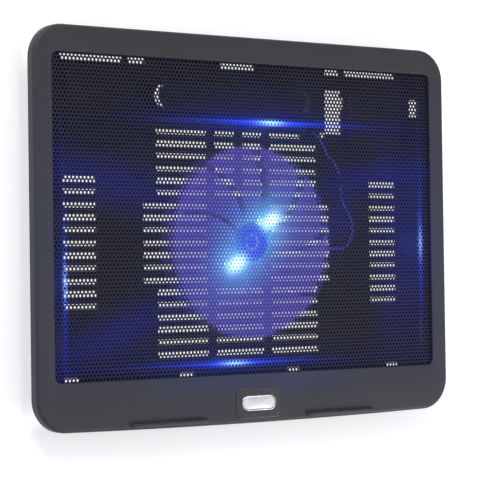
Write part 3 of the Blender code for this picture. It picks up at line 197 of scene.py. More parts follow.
def close_up(mesh):
    """Merges the points of seams and poles, and turns the faces outwards."""
    bm = bmesh.new()
    bm.from_mesh(mesh)
    bmesh.ops.remove_doubles(bm, verts=bm.verts, dist=1e-6)
    bmesh.ops.dissolve_degenerate(bm, edges=bm.edges, dist=1e-7)
    bmesh.ops.recalc_face_normals(bm, faces=bm.faces)
    bm.to_mesh(mesh)
    bm.free()


def piece(name, mesh, material, body, slot, *nodes, sharp=math.radians(35)):
    """An object of that mesh, riding on a body and standing for CAD nodes."""
    mesh.shade_smooth()
    mesh.set_sharp_from_angle(angle=sharp)
    mesh.materials.append(material)
    made = bpy.data.objects.new(name, mesh)
    bpy.context.scene.collection.objects.link(made)
    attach(made, body)
    if nodes:
        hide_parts(*nodes)
    return made


def surface(name, shapes):
    """One closed mesh of several (points, list of faces)."""
    points, faces, first = [], [], 0
    for some_points, some_faces in shapes:
        points.append(some_points)
        faces += [f + first for f in some_faces]
        first += len(some_points)
    mesh = build_mesh(name, np.concatenate(points), faces)
    close_up(mesh)
    return mesh


def turned(profile, steps, centre=(0.0, 0.0)):
    """A profile of (radius, z) turned about Z: x = r cos a, y = r sin a, for even steps of a."""
    profile = np.array(profile)
    angle = np.arange(steps) * math.tau / steps
    x = centre[0] + np.outer(profile[:, 0], np.cos(angle))
    y = centre[1] + np.outer(profile[:, 0], np.sin(angle))
    z = np.repeat(profile[:, 1:], steps, 1)
    points = np.stack([x, y, z], 2).reshape(-1, 3)
    return points, [grid_faces(len(profile), steps, wrap_columns=True)]


def arc(centre, radius, start, end, steps=FILLET_STEPS):
    """Points (n, 2) at centre + radius (cos a, sin a), from one angle in degrees to another."""
    angle = np.radians(np.linspace(start, end, steps + 1))
    return np.stack([centre[0] + radius * np.cos(angle), centre[1] + radius * np.sin(angle)], 1)


def rounded_outline(half_x, front, rear, radius, bow=0.0):
    """Points (n, 2) anticlockwise round a rectangle whose corners are arcs. The front side swells
    forward: y = front + bow (x / half_x) squared."""
    ends = half_x - radius
    end_front = front + bow * (ends / half_x) ** 2 + radius
    x = np.linspace(-ends, ends, FRONT_STEPS + 1)
    front_side = np.stack([x, front + bow * (x / half_x) ** 2], 1)
    corners = (
        arc((ends, end_front), radius, -90, 0, CORNER_STEPS)[1:],
        arc((ends, rear - radius), radius, 0, 90, CORNER_STEPS),
        arc((-ends, rear - radius), radius, 90, 180, CORNER_STEPS),
        arc((-ends, end_front), radius, 180, 270, CORNER_STEPS)[:-1],
    )
    return np.concatenate([front_side, *corners])


def loft(rings, closed=True):
    """Points and faces through rings of (outline, z), joined round again if closed."""
    count = len(rings[0][0])
    points = np.concatenate([np.column_stack([outline, np.full(count, z)]) for outline, z in rings])
    return points, [grid_faces(len(rings), count, wrap_rows=closed, wrap_columns=True)]


# ---------------------------------------------------------------- node helpers
def place(tree, kind, inputs=(), **settings):
    """A new node with these settings. Each input is a value or another node's output."""
    node = tree.nodes.new(kind)
    for name, value in settings.items():
        setattr(node, name, value)
    for key, value in dict(inputs).items():
        if isinstance(value, bpy.types.NodeSocket):
            tree.links.new(value, node.inputs[key])
        else:
            node.inputs[key].default_value = value
    return node


def maths(tree, operation, *values):
    return place(tree, "ShaderNodeMath", enumerate(values), operation=operation).outputs[0]


def mapped(tree, value, start, end, low=0.0, high=1.0):
    """A value's way from start to end, as a number from low to high, held at both ends."""
    ranges = {"Value": value, "From Min": start, "From Max": end, "To Min": low, "To Max": high}
    return place(tree, "ShaderNodeMapRange", ranges).outputs["Result"]


def vector(tree, operation, *values):
    node = place(tree, "ShaderNodeVectorMath", enumerate(values), operation=operation)
    return node.outputs["Value" if operation in ("LENGTH", "DISTANCE", "DOT_PRODUCT") else "Vector"]


def scaled(tree, colour, amount):
    node = place(tree, "ShaderNodeVectorMath", {0: colour}, operation="SCALE")
    if isinstance(amount, bpy.types.NodeSocket):
        tree.links.new(amount, node.inputs["Scale"])
    else:
        node.inputs["Scale"].default_value = amount
    return node.outputs["Vector"]


def blended(tree, amount, first, second):
    node = place(tree, "ShaderNodeMix", {"Factor": amount, "A": first, "B": second}, data_type="RGBA")
    return node.outputs["Result"]


def start_group(name, inputs, outputs):
    """A shader node group with these sockets, its input node and its output node."""
    group = bpy.data.node_groups.new(name, "ShaderNodeTree")
    for label, kind, value in inputs:
        socket = group.interface.new_socket(label, in_out="INPUT", socket_type="NodeSocket" + kind)
        socket.default_value = value
    for label, kind in outputs:
        group.interface.new_socket(label, in_out="OUTPUT", socket_type="NodeSocket" + kind)
    return group, group.nodes.new("NodeGroupInput"), group.nodes.new("NodeGroupOutput")


def use_group(tree, group, **inputs):
    named = {name.replace("_", " "): value for name, value in inputs.items()}
    node = tree.nodes.new("ShaderNodeGroup")
    node.node_tree = group
    for key, value in named.items():
        if isinstance(value, bpy.types.NodeSocket):
            tree.links.new(value, node.inputs[key])
        else:
            node.inputs[key].default_value = value
    return node


def object_place(tree):
    return place(tree, "ShaderNodeTexCoord").outputs["Object"]


# ---------------------------------------------------------------- shared effects
def make_soft_spot():
    """How near a point is to a centre: a bell over the distance, counted in a reach for each axis."""
    group, given, out = start_group(
        "soft_spot",
        [("Centre", "Vector", (0, 0, 0)), ("Reach", "Vector", (1, 1, 1))],
        [("Nearness", "Float")],
    )
    away = vector(group, "SUBTRACT", object_place(group), given.outputs["Centre"])
    away = vector(group, "LENGTH", vector(group, "DIVIDE", away, given.outputs["Reach"]))
    group.links.new(bell(group, away, 1.0), out.inputs["Nearness"])
    return group


def along_and_across(group, centre, along):
    """How far a point is from a centre, along a direction in the pad's plane and across it."""
    away = vector(group, "SUBTRACT", object_place(group), centre)
    length = maths(group, "ABSOLUTE", vector(group, "DOT_PRODUCT", away, along))
    sideways = vector(group, "CROSS_PRODUCT", along, (0.0, 0.0, 1.0))
    return length, maths(group, "ABSOLUTE", vector(group, "DOT_PRODUCT", away, sideways))


def bell(group, distance, reach):
    """e to the power of minus the squared distance, counted in reaches."""
    reaches = maths(group, "DIVIDE", distance, reach)
    squared = maths(group, "MULTIPLY", reaches, reaches)
    return maths(group, "EXPONENT", maths(group, "MULTIPLY", squared, -1.0))


def fading(group, distance, reach):
    """One over one plus the squared distance, counted in reaches."""
    reaches = maths(group, "DIVIDE", distance, reach)
    return maths(group, "POWER", maths(group, "MULTIPLY_ADD", reaches, reaches, 1.0), -1.0)


def summed(group, colours):
    total = colours[0]
    for colour in colours[1:]:
        total = vector(group, "ADD", total, colour)
    return total


def make_lamp_glow():
    """Light of the two lights on what is over and under them: a long white core and a blue halo at
    each, a beam that runs through both and that the hub shades, a painted blue glow over the hub, and a
    violet disc where the lit blades turn."""
    group, given, out = start_group(
        "lamp_glow",
        [
            ("Core Reach", "Float", 0.004),
            ("Core", "Color", (0.5, 0.9, 1.0, 1.0)),
            ("Halo Reach", "Float", 0.02),
            ("Halo", "Color", (0.05, 0.12, 1.0, 1.0)),
            ("Beam", "Color", (0.05, 0.2, 1.0, 1.0)),
            ("Hub", "Color", (0.0, 0.0, 0.0, 1.0)),
            ("Disc", "Color", (0.05, 0.03, 0.2, 1.0)),
        ],
        [("Glow", "Color")],
    )
    where = vector(group, "MULTIPLY", object_place(group), (1.0, 1.0, 0.0))
    core_along = (math.cos(CORE_TURN), math.sin(CORE_TURN), 0.0)
    core_length = maths(group, "MULTIPLY", given.outputs["Core Reach"], CORE_STRETCH)
    lit = []
    ends = []
    for lamp in ("led_1", "led_2"):
        low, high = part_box(lamp)
        ends.append(Vector(((low.x + high.x) / 2, (low.y + high.y) / 2, 0.0)))
        away = vector(group, "DISTANCE", where, tuple(ends[-1]))
        length, sideways = along_and_across(group, tuple(ends[-1]), core_along)
        core = bell(group, sideways, given.outputs["Core Reach"])
        core = maths(group, "MULTIPLY", core, bell(group, length, core_length))
        lit.append(scaled(group, given.outputs["Core"], core))
        halo = maths(group, "POWER", fading(group, away, given.outputs["Halo Reach"]), 1.5)
        lit.append(scaled(group, given.outputs["Halo"], halo))
    along = (ends[0] - ends[1]).normalized()
    length, sideways = along_and_across(group, tuple(FAN_CENTRE), tuple(along))
    beam = maths(group, "MULTIPLY", bell(group, length, BEAM_REACH), bell(group, sideways, BEAM_WIDTH))
    from_axle = vector(group, "DISTANCE", where, (FAN_CENTRE.x, FAN_CENTRE.y, 0.0))
    past_hub = mapped(group, from_axle, HUB_SHADE, HUB_SHADE + HUB_SHADE_EDGE, HUB_LEAK)
    beam = maths(group, "MULTIPLY", beam, past_hub)
    lit.append(scaled(group, given.outputs["Beam"], beam))
    # Painted blue glow over the hub, where the hub shades the beam.
    over_hub = maths(group, "SUBTRACT", 1.0, past_hub)
    lit.append(scaled(group, given.outputs["Hub"], over_hub))
    disc = mapped(group, from_axle, FAN_RADIUS + DISC_EDGE, FAN_RADIUS - DISC_EDGE)
    lit.append(scaled(group, given.outputs["Disc"], disc))
    group.links.new(summed(group, lit), out.inputs["Glow"])
    return group


def make_rib_light():
    """Blue light that runs along the four ribs round the fan, brightest where each faces a light: a
    streak with a white core that fades along the rib, in a broad haze. Bands of the same haze cross the
    space between the ribs and the fan."""
    group, given, out = start_group(
        "rib_light",
        [
            ("Core", "Color", (0.1, 0.4, 1.0, 1.0)),
            ("Streak", "Color", (0.0, 0.02, 0.6, 1.0)),
            ("Haze", "Color", (0.0, 0.005, 0.1, 1.0)),
            ("Width", "Float", 0.002),
        ],
        [("Glow", "Color")],
    )
    side = SHEET_HIGH.x - SHEET_LAP - RIB_TO_WINDOW
    ribs = (
        ((-side, LEFT_RIB_LIGHT[0]), (0.0, 1.0, 0.0), LEFT_RIB_LIGHT[1]),
        ((side, RIGHT_RIB_LIGHT[0]), (0.0, 1.0, 0.0), RIGHT_RIB_LIGHT[1]),
        ((REAR_RIB_LIGHT[0], FAN_CENTRE.y + RIB_TO_FAN), (1.0, 0.0, 0.0), REAR_RIB_LIGHT[1]),
        ((FRONT_RIB_LIGHT[0], FAN_CENTRE.y - RIB_TO_FAN), (1.0, 0.0, 0.0), FRONT_RIB_LIGHT[1]),
    )
    lit = []
    for (x, y), along, power in ribs:
        length, sideways = along_and_across(group, (x, y, RIB_TOP), along)
        near = maths(group, "MULTIPLY", bell(group, sideways, given.outputs["Width"]), power)
        haze_width = maths(group, "MULTIPLY", given.outputs["Width"], HAZE_SPREAD)
        core = maths(group, "MULTIPLY", near, bell(group, length, STREAK_CORE))
        lit.append(scaled(group, given.outputs["Core"], core))
        faded = maths(
            group, "MULTIPLY", fading(group, length, STREAK_FADE), bell(group, length, STREAK_REACH)
        )
        lit.append(scaled(group, given.outputs["Streak"], maths(group, "MULTIPLY", near, faded)))
        haze = maths(
            group, "MULTIPLY", bell(group, sideways, haze_width), bell(group, length, HAZE_REACH)
        )
        lit.append(scaled(group, given.outputs["Haze"], maths(group, "MULTIPLY", haze, power)))
    for (x, y), turn, reach, width in STRAY_BEAMS:
        along = (math.cos(math.radians(turn)), math.sin(math.radians(turn)), 0.0)
        length, sideways = along_and_across(group, (x, y, RIB_TOP), along)
        stray = maths(group, "MULTIPLY", bell(group, sideways, width), bell(group, length, reach))
        lit.append(scaled(group, given.outputs["Haze"], stray))
    group.links.new(summed(group, lit), out.inputs["Glow"])
    return group


def make_moulded_grain():
    """The fine spark-eroded grain of a mould: small bumps of two sizes."""
    group, given, out = start_group(
        "moulded_grain", [("Scale", "Float", 900.0)], [("Height", "Float"), ("Fleck", "Float")]
    )
    where = object_place(group)
    scale = given.outputs["Scale"]
    fine = place(group, "ShaderNodeTexNoise", {"Vector": where, "Scale": scale, "Detail": 3.0})
    cells = place(group, "ShaderNodeTexVoronoi", {"Vector": where, "Scale": scale})
    height = maths(group, "MULTIPLY_ADD", cells.outputs["Distance"], 0.5, fine.outputs["Fac"])
    group.links.new(height, out.inputs["Height"])
    group.links.new(mapped(group, fine.outputs["Fac"], 0.35, 0.68), out.inputs["Fleck"])
    return group


def make_handling():
    """Broad, faint patches where hands and cloths have rubbed, and dust that lies on what faces up."""
    group, given, out = start_group(
        "handling",
        [("Patch Scale", "Float", 18.0), ("Dust", "Float", 0.1)],
        [("Patch", "Float"), ("Dust", "Float")],
    )
    coordinates = place(group, "ShaderNodeTexCoord")
    where = coordinates.outputs["Object"]
    patch_scale = given.outputs["Patch Scale"]
    broad = place(group, "ShaderNodeTexNoise", {"Vector": where, "Scale": patch_scale, "Detail": 4.0})
    specks = place(group, "ShaderNodeTexNoise", {"Vector": where, "Scale": 1400.0, "Detail": 2.0})
    speck = mapped(group, specks.outputs["Fac"], 0.6, 0.75)
    up = place(group, "ShaderNodeSeparateXYZ", {0: coordinates.outputs["Normal"]}).outputs["Z"]
    lying = maths(group, "MULTIPLY", speck, maths(group, "MAXIMUM", up, 0.0))
    dust = maths(group, "MULTIPLY", lying, given.outputs["Dust"])
    group.links.new(mapped(group, broad.outputs["Fac"], 0.3, 0.7), out.inputs["Patch"])
    group.links.new(dust, out.inputs["Dust"])
    return group


def make_drawn_lines():
    """Fine lines along one direction, as rolling, turning or brushing leaves them on metal."""
    group, given, out = start_group(
        "drawn_lines", [("Stretch", "Vector", (40.0, 4000.0, 4000.0))], [("Height", "Float")]
    )
    where = vector(group, "MULTIPLY", object_place(group), given.outputs["Stretch"])
    lines = place(group, "ShaderNodeTexNoise", {"Vector": where, "Scale": 1.0, "Detail": 2.0})
    group.links.new(lines.outputs["Fac"], out.inputs["Height"])
    return group


SOFT_SPOT = make_soft_spot()
LAMP_GLOW = make_lamp_glow()
RIB_LIGHT = make_rib_light()
MOULDED_GRAIN = make_moulded_grain()
HANDLING = make_handling()
DRAWN_LINES = make_drawn_lines()


# ---------------------------------------------------------------- finishes
def start_material(name, roughness=0.5, metallic=0.0, specular=0.5, coat=0.0, coat_roughness=0.1):
    """A material with a Principled shader whose even values are set on its own sockets."""
    material = bpy.data.materials.new(name)
    material.use_nodes = True
    tree = material.node_tree
    shader = tree.nodes["Principled BSDF"]
    shader.inputs["Roughness"].default_value = roughness
    shader.inputs["Metallic"].default_value = metallic
    shader.inputs["Specular IOR Level"].default_value = specular
    shader.inputs["Coat Weight"].default_value = coat
    shader.inputs["Coat Roughness"].default_value = coat_roughness
    return material, tree, shader


def bump(tree, shader, height, distance):
    node = place(tree, "ShaderNodeBump", {"Height": height, "Distance": distance, "Strength": 1.0})
    tree.links.new(node.outputs["Normal"], shader.inputs["Normal"])


def finish_plastic(name, colour, pale, roughness, grain_scale, grain_depth, dust=0.1):
    """Moulded plastic: grain in the height, flecks and rubbed patches in colour and roughness."""
    material, tree, shader = start_material(name, specular=0.4)
    grain = use_group(tree, MOULDED_GRAIN, Scale=grain_scale)
    worn = use_group(tree, HANDLING, Patch_Scale=14.0, Dust=dust)
    patch = maths(tree, "MULTIPLY", worn.outputs["Patch"], 0.5)
    mixed = maths(tree, "MULTIPLY_ADD", grain.outputs["Fleck"], 0.5, patch)
    base = blended(tree, mixed, (*colour, 1.0), (*pale, 1.0))
    base = blended(tree, worn.outputs["Dust"], base, (0.35, 0.34, 0.33, 1.0))
    tree.links.new(base, shader.inputs["Base Color"])
    rough = mapped(tree, mixed, 0.0, 1.0, roughness - 0.05, roughness + 0.07)
    tree.links.new(rough, shader.inputs["Roughness"])
    bump(tree, shader, grain.outputs["Height"], grain_depth)
    return material, tree, shader


def make_frame_plastic():
    material, tree, shader = finish_plastic(
        "charcoal_plastic", (0.0215, 0.0207, 0.0255), (0.0298, 0.0287, 0.0338), 0.50, 1500.0, 0.00006
    )
    side = SHEET_HIGH.x
    # Painted light: faint blue glows on the bezel beside the window's two sides and along its front edge,
    # where the lights inside would spill.
    painted_light_spills = (
        ((-side, FAN_CENTRE.y, BEZEL_TOP), (0.018, 0.085, 0.01), (0.0, 0.002, 0.022)),
        ((side, FAN_CENTRE.y, BEZEL_TOP), (0.018, 0.085, 0.01), (0.002, 0.005, 0.038)),
        ((0.0, SHEET_LOW.y, BEZEL_TOP), (0.095, 0.013, 0.01), (0.0, 0.003, 0.045)),
    )
    lit = []
    for centre, reach, colour in painted_light_spills:
        spot = use_group(tree, SOFT_SPOT, Centre=centre, Reach=reach)
        lit.append(scaled(tree, colour, spot.outputs["Nearness"]))
    tree.links.new(summed(tree, lit), shader.inputs["Emission Color"])
    shader.inputs["Emission Strength"].default_value = 1.0
    return material


def make_shell_plastic():
    material, tree, shader = finish_plastic(
        "dark_plastic", (0.012, 0.012, 0.015), (0.018, 0.018, 0.022), 0.52, 1300.0, 0.00006, dust=0.05
    )
    lamps = use_group(
        tree,
        LAMP_GLOW,
        Core_Reach=0.008,
        Core=(0.20, 0.6, 1.0, 1.0),
        Halo_Reach=0.030,
        Halo=(0.003, 0.008, 0.12, 1.0),
        Beam=(0.05, 0.16, 0.6, 1.0),
        Disc=(0.040, 0.032, 0.22, 1.0),
    )
    ribs = use_group(
        tree,
        RIB_LIGHT,
        Core=(0.01, 0.05, 0.35, 1.0),
        Streak=(0.002, 0.012, 0.26, 1.0),
        Haze=(0.001, 0.003, 0.13, 1.0),
        Width=0.004,
    )
    height = place(tree, "ShaderNodeSeparateXYZ", {0: object_place(tree)}).outputs["Z"]
    inside = mapped(tree, height, GLOW_FROM, GLOW_FULL)
    glow = summed(tree, [lamps.outputs["Glow"], ribs.outputs["Glow"]])
    tree.links.new(scaled(tree, glow, inside), shader.inputs["Emission Color"])
    shader.inputs["Emission Strength"].default_value = 1.0
    return material


def make_sheet_steel():
    """Black powder coat on perforated steel: a fine orange peel, lit by the lights beneath."""
    material, tree, shader = start_material("black_powder_coat", roughness=0.6, specular=0.2)
    peel = place(tree, "ShaderNodeTexNoise", {"Vector": object_place(tree), "Scale": 1800.0, "Detail": 2.0})
    worn = use_group(tree, HANDLING, Patch_Scale=20.0, Dust=0.12)
    black, worn_black = (0.010, 0.0098, 0.0112, 1.0), (0.015, 0.0147, 0.0165, 1.0)
    base = blended(tree, worn.outputs["Patch"], black, worn_black)
    base = blended(tree, worn.outputs["Dust"], base, (0.2, 0.2, 0.2, 1.0))
    tree.links.new(base, shader.inputs["Base Color"])
    bump(tree, shader, peel.outputs["Fac"], 0.00004)
    lamps = use_group(
        tree,
        LAMP_GLOW,
        Core_Reach=0.0043,
        Core=(1.05, 1.5, 1.3, 1.0),
        Halo_Reach=0.012,
        Halo=(0.04, 0.23, 0.34, 1.0),
        Beam=(0.03, 0.24, 0.42, 1.0),
        Hub=(0.005, 0.015, 0.32, 1.0),
        Disc=(0.030, 0.024, 0.14, 1.0),
    )
    ribs = use_group(
        tree,
        RIB_LIGHT,
        Core=(0.45, 0.85, 1.3, 1.0),
        Streak=(0.015, 0.085, 1.55, 1.0),
        Haze=(0.0, 0.001, 0.055, 1.0),
        Width=0.0015,
    )
    # Painted light: the lights' cores, halos, beam, hub glow and violet disc, the ribs' streaks, and a faint
    # even blue glow over the whole sheet.
    tree.links.new(
        summed(tree, [lamps.outputs["Glow"], ribs.outputs["Glow"], (0.0005, 0.0005, 0.010)]),
        shader.inputs["Emission Color"],
    )
    shader.inputs["Emission Strength"].default_value = 1.0
    return material


def make_blade_plastic():
    """Clear violet-blue plastic, lit from below: brightest over the ring where the lights sit."""
    material, tree, shader = start_material("violet_plastic", roughness=0.28, specular=0.5)
    where = object_place(tree)
    away = vector(tree, "SUBTRACT", where, tuple(FAN_CENTRE))
    away = vector(tree, "LENGTH", vector(tree, "MULTIPLY", away, (1.0, 1.0, 0.0)))
    hub = mapped(tree, away, HUB_RADIUS - 0.0004, HUB_RADIUS + 0.0002, 1.0, 0.0)
    base = blended(tree, hub, (0.12, 0.10, 0.62, 1.0), (0.02, 0.03, 0.40, 1.0))
    tree.links.new(base, shader.inputs["Base Color"])
    outwards = mapped(tree, away, 0.013, 0.036)
    glow = blended(tree, outwards, (0.30, 0.55, 1.5, 1.0), (0.17, 0.13, 0.80, 1.0))
    glow = blended(tree, hub, glow, (0.018, 0.015, 1.0, 1.0))
    ring = bell(tree, maths(tree, "SUBTRACT", away, (HUB_RING_IN + HUB_RING_OUT) / 2), RING_SOFTNESS)
    glow = blended(tree, ring, glow, (0.35, 0.45, 1.1, 1.0))
    tree.links.new(glow, shader.inputs["Emission Color"])
    shader.inputs["Emission Strength"].default_value = 0.8
    alpha = maths(tree, "MULTIPLY_ADD", hub, 0.50, 0.42)
    tree.links.new(alpha, shader.inputs["Alpha"])
    flow = place(tree, "ShaderNodeTexNoise", {"Vector": where, "Scale": 160.0, "Detail": 2.0})
    bump(tree, shader, flow.outputs["Fac"], 0.0001)
    return material


def make_lamp_epoxy():
    material, tree, shader = start_material("lamp_epoxy", roughness=0.15)
    shader.inputs["Base Color"].default_value = (0.7, 0.9, 1.0, 1.0)
    cloud = place(tree, "ShaderNodeTexNoise", {"Vector": object_place(tree), "Scale": 600.0})
    glow = blended(tree, cloud.outputs["Fac"], (0.55, 1.0, 1.0, 1.0), (0.75, 1.0, 1.0, 1.0))
    tree.links.new(glow, shader.inputs["Emission Color"])
    shader.inputs["Emission Strength"].default_value = 2.0
    return material


def finish_metal(name, colour, tint, roughness, stretch, depth=0.00002, metallic=1.0, glow=0.0):
    """Bare metal with drawn lines and a slight stain."""
    material, tree, shader = start_material(name, roughness=roughness, metallic=metallic)
    lines = use_group(tree, DRAWN_LINES, Stretch=stretch)
    worn = use_group(tree, HANDLING, Patch_Scale=120.0, Dust=0.05)
    base = blended(tree, worn.outputs["Patch"], (*colour, 1.0), (*tint, 1.0))
    tree.links.new(base, shader.inputs["Base Color"])
    rough = mapped(tree, lines.outputs["Height"], 0.0, 1.0, roughness * 0.8, roughness * 1.25)
    tree.links.new(rough, shader.inputs["Roughness"])
    bump(tree, shader, lines.outputs["Height"], depth)
    if glow:
        add_lamp_glow(tree, shader, glow)
    return material


def add_lamp_glow(tree, shader, amount):
    lamps = use_group(
        tree,
        LAMP_GLOW,
        Core_Reach=0.008,
        Core=(0.3, 1.0, 1.8, 1.0),
        Halo_Reach=0.018,
        Halo=(0.02, 0.06, 0.4, 1.0),
        Beam=(0.03, 0.10, 0.5, 1.0),
        Disc=(0.02, 0.015, 0.12, 1.0),
    )
    tree.links.new(lamps.outputs["Glow"], shader.inputs["Emission Color"])
    shader.inputs["Emission Strength"].default_value = amount


def make_motor_plastic():
    material, tree, shader = finish_plastic(
        "motor_plastic", (0.020, 0.020, 0.026), (0.03, 0.03, 0.036), 0.5, 1300.0, 0.00006, 0.05
    )
    add_lamp_glow(tree, shader, 1.3)
    return material


def make_winding_copper():
    material, tree, shader = start_material("enamelled_copper", roughness=0.3, metallic=1.0, coat=0.4)
    where = object_place(tree)
    wires = place(
        tree, "ShaderNodeTexWave", {"Vector": where, "Scale": 900.0}, bands_direction="Z", wave_profile="SIN"
    )
    base = blended(tree, wires.outputs["Fac"], (0.55, 0.22, 0.09, 1.0), (0.80, 0.38, 0.18, 1.0))
    tree.links.new(base, shader.inputs["Base Color"])
    bump(tree, shader, wires.outputs["Fac"], 0.0001)
    return material


def make_circuit_board():
    material, tree, shader = start_material("circuit_board", roughness=0.4, coat=0.3)
    where = object_place(tree)
    weave = place(tree, "ShaderNodeTexChecker", {"Vector": where, "Scale": 2200.0})
    tracks = place(tree, "ShaderNodeTexBrick", {"Vector": where, "Scale": 180.0, "Mortar Size": 0.012})
    cloth = blended(tree, weave.outputs["Fac"], (0.010, 0.055, 0.028, 1.0), (0.014, 0.070, 0.034, 1.0))
    base = blended(tree, tracks.outputs["Fac"], cloth, (0.030, 0.120, 0.060, 1.0))
    tree.links.new(base, shader.inputs["Base Color"])
    bump(tree, shader, tracks.outputs["Fac"], 0.00003)
    add_lamp_glow(tree, shader, 1.0)
    return material


def make_rubber(name, colour, pale, scale=1100.0, glow=None):
    material, tree, shader = start_material(name, roughness=0.8, specular=0.25)
    grain = use_group(tree, MOULDED_GRAIN, Scale=scale)
    worn = use_group(tree, HANDLING, Patch_Scale=60.0, Dust=0.2)
    base = blended(tree, grain.outputs["Fleck"], (*colour, 1.0), (*pale, 1.0))
    base = blended(tree, worn.outputs["Dust"], base, (0.3, 0.3, 0.3, 1.0))
    tree.links.new(base, shader.inputs["Base Color"])
    bump(tree, shader, grain.outputs["Height"], 0.00008)
    if glow:
        # Painted light: a glow of the given colour, patchy by a noise, over the whole piece; the fan lead's
        # sleeve glows blue so.
        patchy_glow = place(tree, "ShaderNodeTexNoise", {"Vector": object_place(tree), "Scale": 120.0})
        tree.links.new(scaled(tree, glow, patchy_glow.outputs["Fac"]), shader.inputs["Emission Color"])
        shader.inputs["Emission Strength"].default_value = 1.0
    return material


def make_badge_gloss():
    material, tree, shader = start_material("badge_lacquer", roughness=0.18, coat=0.6, coat_roughness=0.05)
    worn = use_group(tree, HANDLING, Patch_Scale=220.0, Dust=0.25)
    base = blended(tree, worn.outputs["Patch"], (0.022, 0.020, 0.027, 1.0), (0.029, 0.027, 0.036, 1.0))
    base = blended(tree, worn.outputs["Dust"], base, (0.4, 0.4, 0.4, 1.0))
    tree.links.new(base, shader.inputs["Base Color"])
    bump(tree, shader, worn.outputs["Patch"], 0.00003)
    return material


FRAME_PLASTIC = make_frame_plastic()
SHELL_PLASTIC = make_shell_plastic()
SHEET_STEEL = make_sheet_steel()
BLADE_PLASTIC = make_blade_plastic()
LAMP_EPOXY = make_lamp_epoxy()
STEEL = finish_metal("bright_steel", (0.46, 0.46, 0.48), (0.38, 0.38, 0.40), 0.32, (900, 900, 900))
SCREW_STEEL = finish_metal(
    "blackened_steel", (0.10, 0.10, 0.11), (0.14, 0.14, 0.15), 0.38, (2500, 2500, 2500)
)
LAMINATION = finish_metal(
    "stacked_lamination", (0.22, 0.22, 0.24), (0.30, 0.30, 0.32), 0.45, (60, 60, 9000), 0.00008, glow=0.4
)
FERRITE = finish_metal(
    "sintered_ferrite",
    (0.05, 0.05, 0.055),
    (0.07, 0.07, 0.075),
    0.6,
    (3000, 3000, 3000),
    0.00004,
    metallic=0.3,
)
BRONZE = finish_metal("sintered_bronze", (0.50, 0.32, 0.14), (0.42, 0.25, 0.10), 0.45, (4000, 4000, 4000))
BASE_PLASTIC = make_motor_plastic()
COPPER = make_winding_copper()
BOARD = make_circuit_board()
RUBBER = make_rubber("foot_rubber", (0.020, 0.020, 0.021), (0.032, 0.032, 0.034))
LEAD_SLEEVE = make_rubber(
    "lead_sleeve", (0.012, 0.014, 0.05), (0.020, 0.024, 0.08), 2200.0, (0.10, 0.09, 0.9)
)
BADGE_GLOSS = make_badge_gloss()
BADGE_CHROME = finish_metal(
    "badge_chrome", (0.50, 0.50, 0.53), (0.42, 0.42, 0.45), 0.20, (300, 300, 300), 0.000002
)
BADGE_SILVER = finish_metal(
    "brushed_silver", (0.84, 0.84, 0.86), (0.76, 0.76, 0.79), 0.42, (120, 9000, 9000), 0.000006
)

SLOT_FINISHES = {
    "frame_plastic": FRAME_PLASTIC,
    "shell_plastic": SHELL_PLASTIC,
    "sheet_steel": SHEET_STEEL,
    "blade_plastic": BLADE_PLASTIC,
    "steel": STEEL,
    "ferrite": FERRITE,
    "lamination": LAMINATION,
    "copper": COPPER,
    "bronze": BRONZE,
    "board": BOARD,
    "led_epoxy": LAMP_EPOXY,
    "lead_sleeve": LEAD_SLEEVE,
    "rubber": RUBBER,
    "screw_steel": SCREW_STEEL,
    "badge_gloss": BADGE_GLOSS,
    "badge_chrome": BADGE_CHROME,
    "badge_silver": BADGE_SILVER,
}


def dress_cad_nodes():
    """Every carried-over node takes the finish of its slot, whose name its own material has."""
    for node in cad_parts.values():
        node.data.materials[0] = SLOT_FINISHES[node.data.materials[0].name]
    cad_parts["motor_base"].data.materials[0] = BASE_PLASTIC


# ---------------------------------------------------------------- bezel
def pad_outline(inset):
    """The pad's own outline, moved in."""
    return rounded_outline(
        FRAME_HIGH.x - inset, FRAME_LOW.y + inset, FRAME_HIGH.y - inset, CORNER_RADIUS - inset, FRONT_BOW
    )


def window_outline(outset):
    """The window's outline, moved out over the bezel."""
    return rounded_outline(
        SHEET_HIGH.x - SHEET_LAP + outset,
        SHEET_LOW.y + SHEET_LAP - outset,
        SHEET_HIGH.y - SHEET_LAP + outset,
        WINDOW_RADIUS + outset,
    )


def make_bezel():
    """A ring whose section, from the foot of the skirt, goes up the outer wall, over a quarter-round
    fillet, across the flat top, over the small fillet of the window's lip and back underneath."""
    rings = [(pad_outline(FRAME_WALL), PARTING), (pad_outline(SKIRT_BEVEL), PARTING)]
    rings.append((pad_outline(0.0), PARTING + SKIRT_BEVEL))
    for inset, z in arc((RIM_FILLET, BEZEL_TOP - RIM_FILLET), RIM_FILLET, 180, 90, FILLET_STEPS + 2):
        rings.append((pad_outline(inset), z))
    for outset, z in arc((LIP_FILLET, BEZEL_TOP - LIP_FILLET), LIP_FILLET, 90, 180, 4):
        rings.append((window_outline(outset), z))
    rings.append((window_outline(0.0), BEZEL_UNDER))
    rings.append((pad_outline(FRAME_WALL + SKIRT_FOOT), BEZEL_UNDER))
    rings.append((pad_outline(FRAME_WALL), BEZEL_UNDER - SKIRT_FOOT))
    mesh = surface("bezel", [loft(rings)])
    piece("bezel", mesh, FRAME_PLASTIC, "base", "frame_plastic", "top_frame")


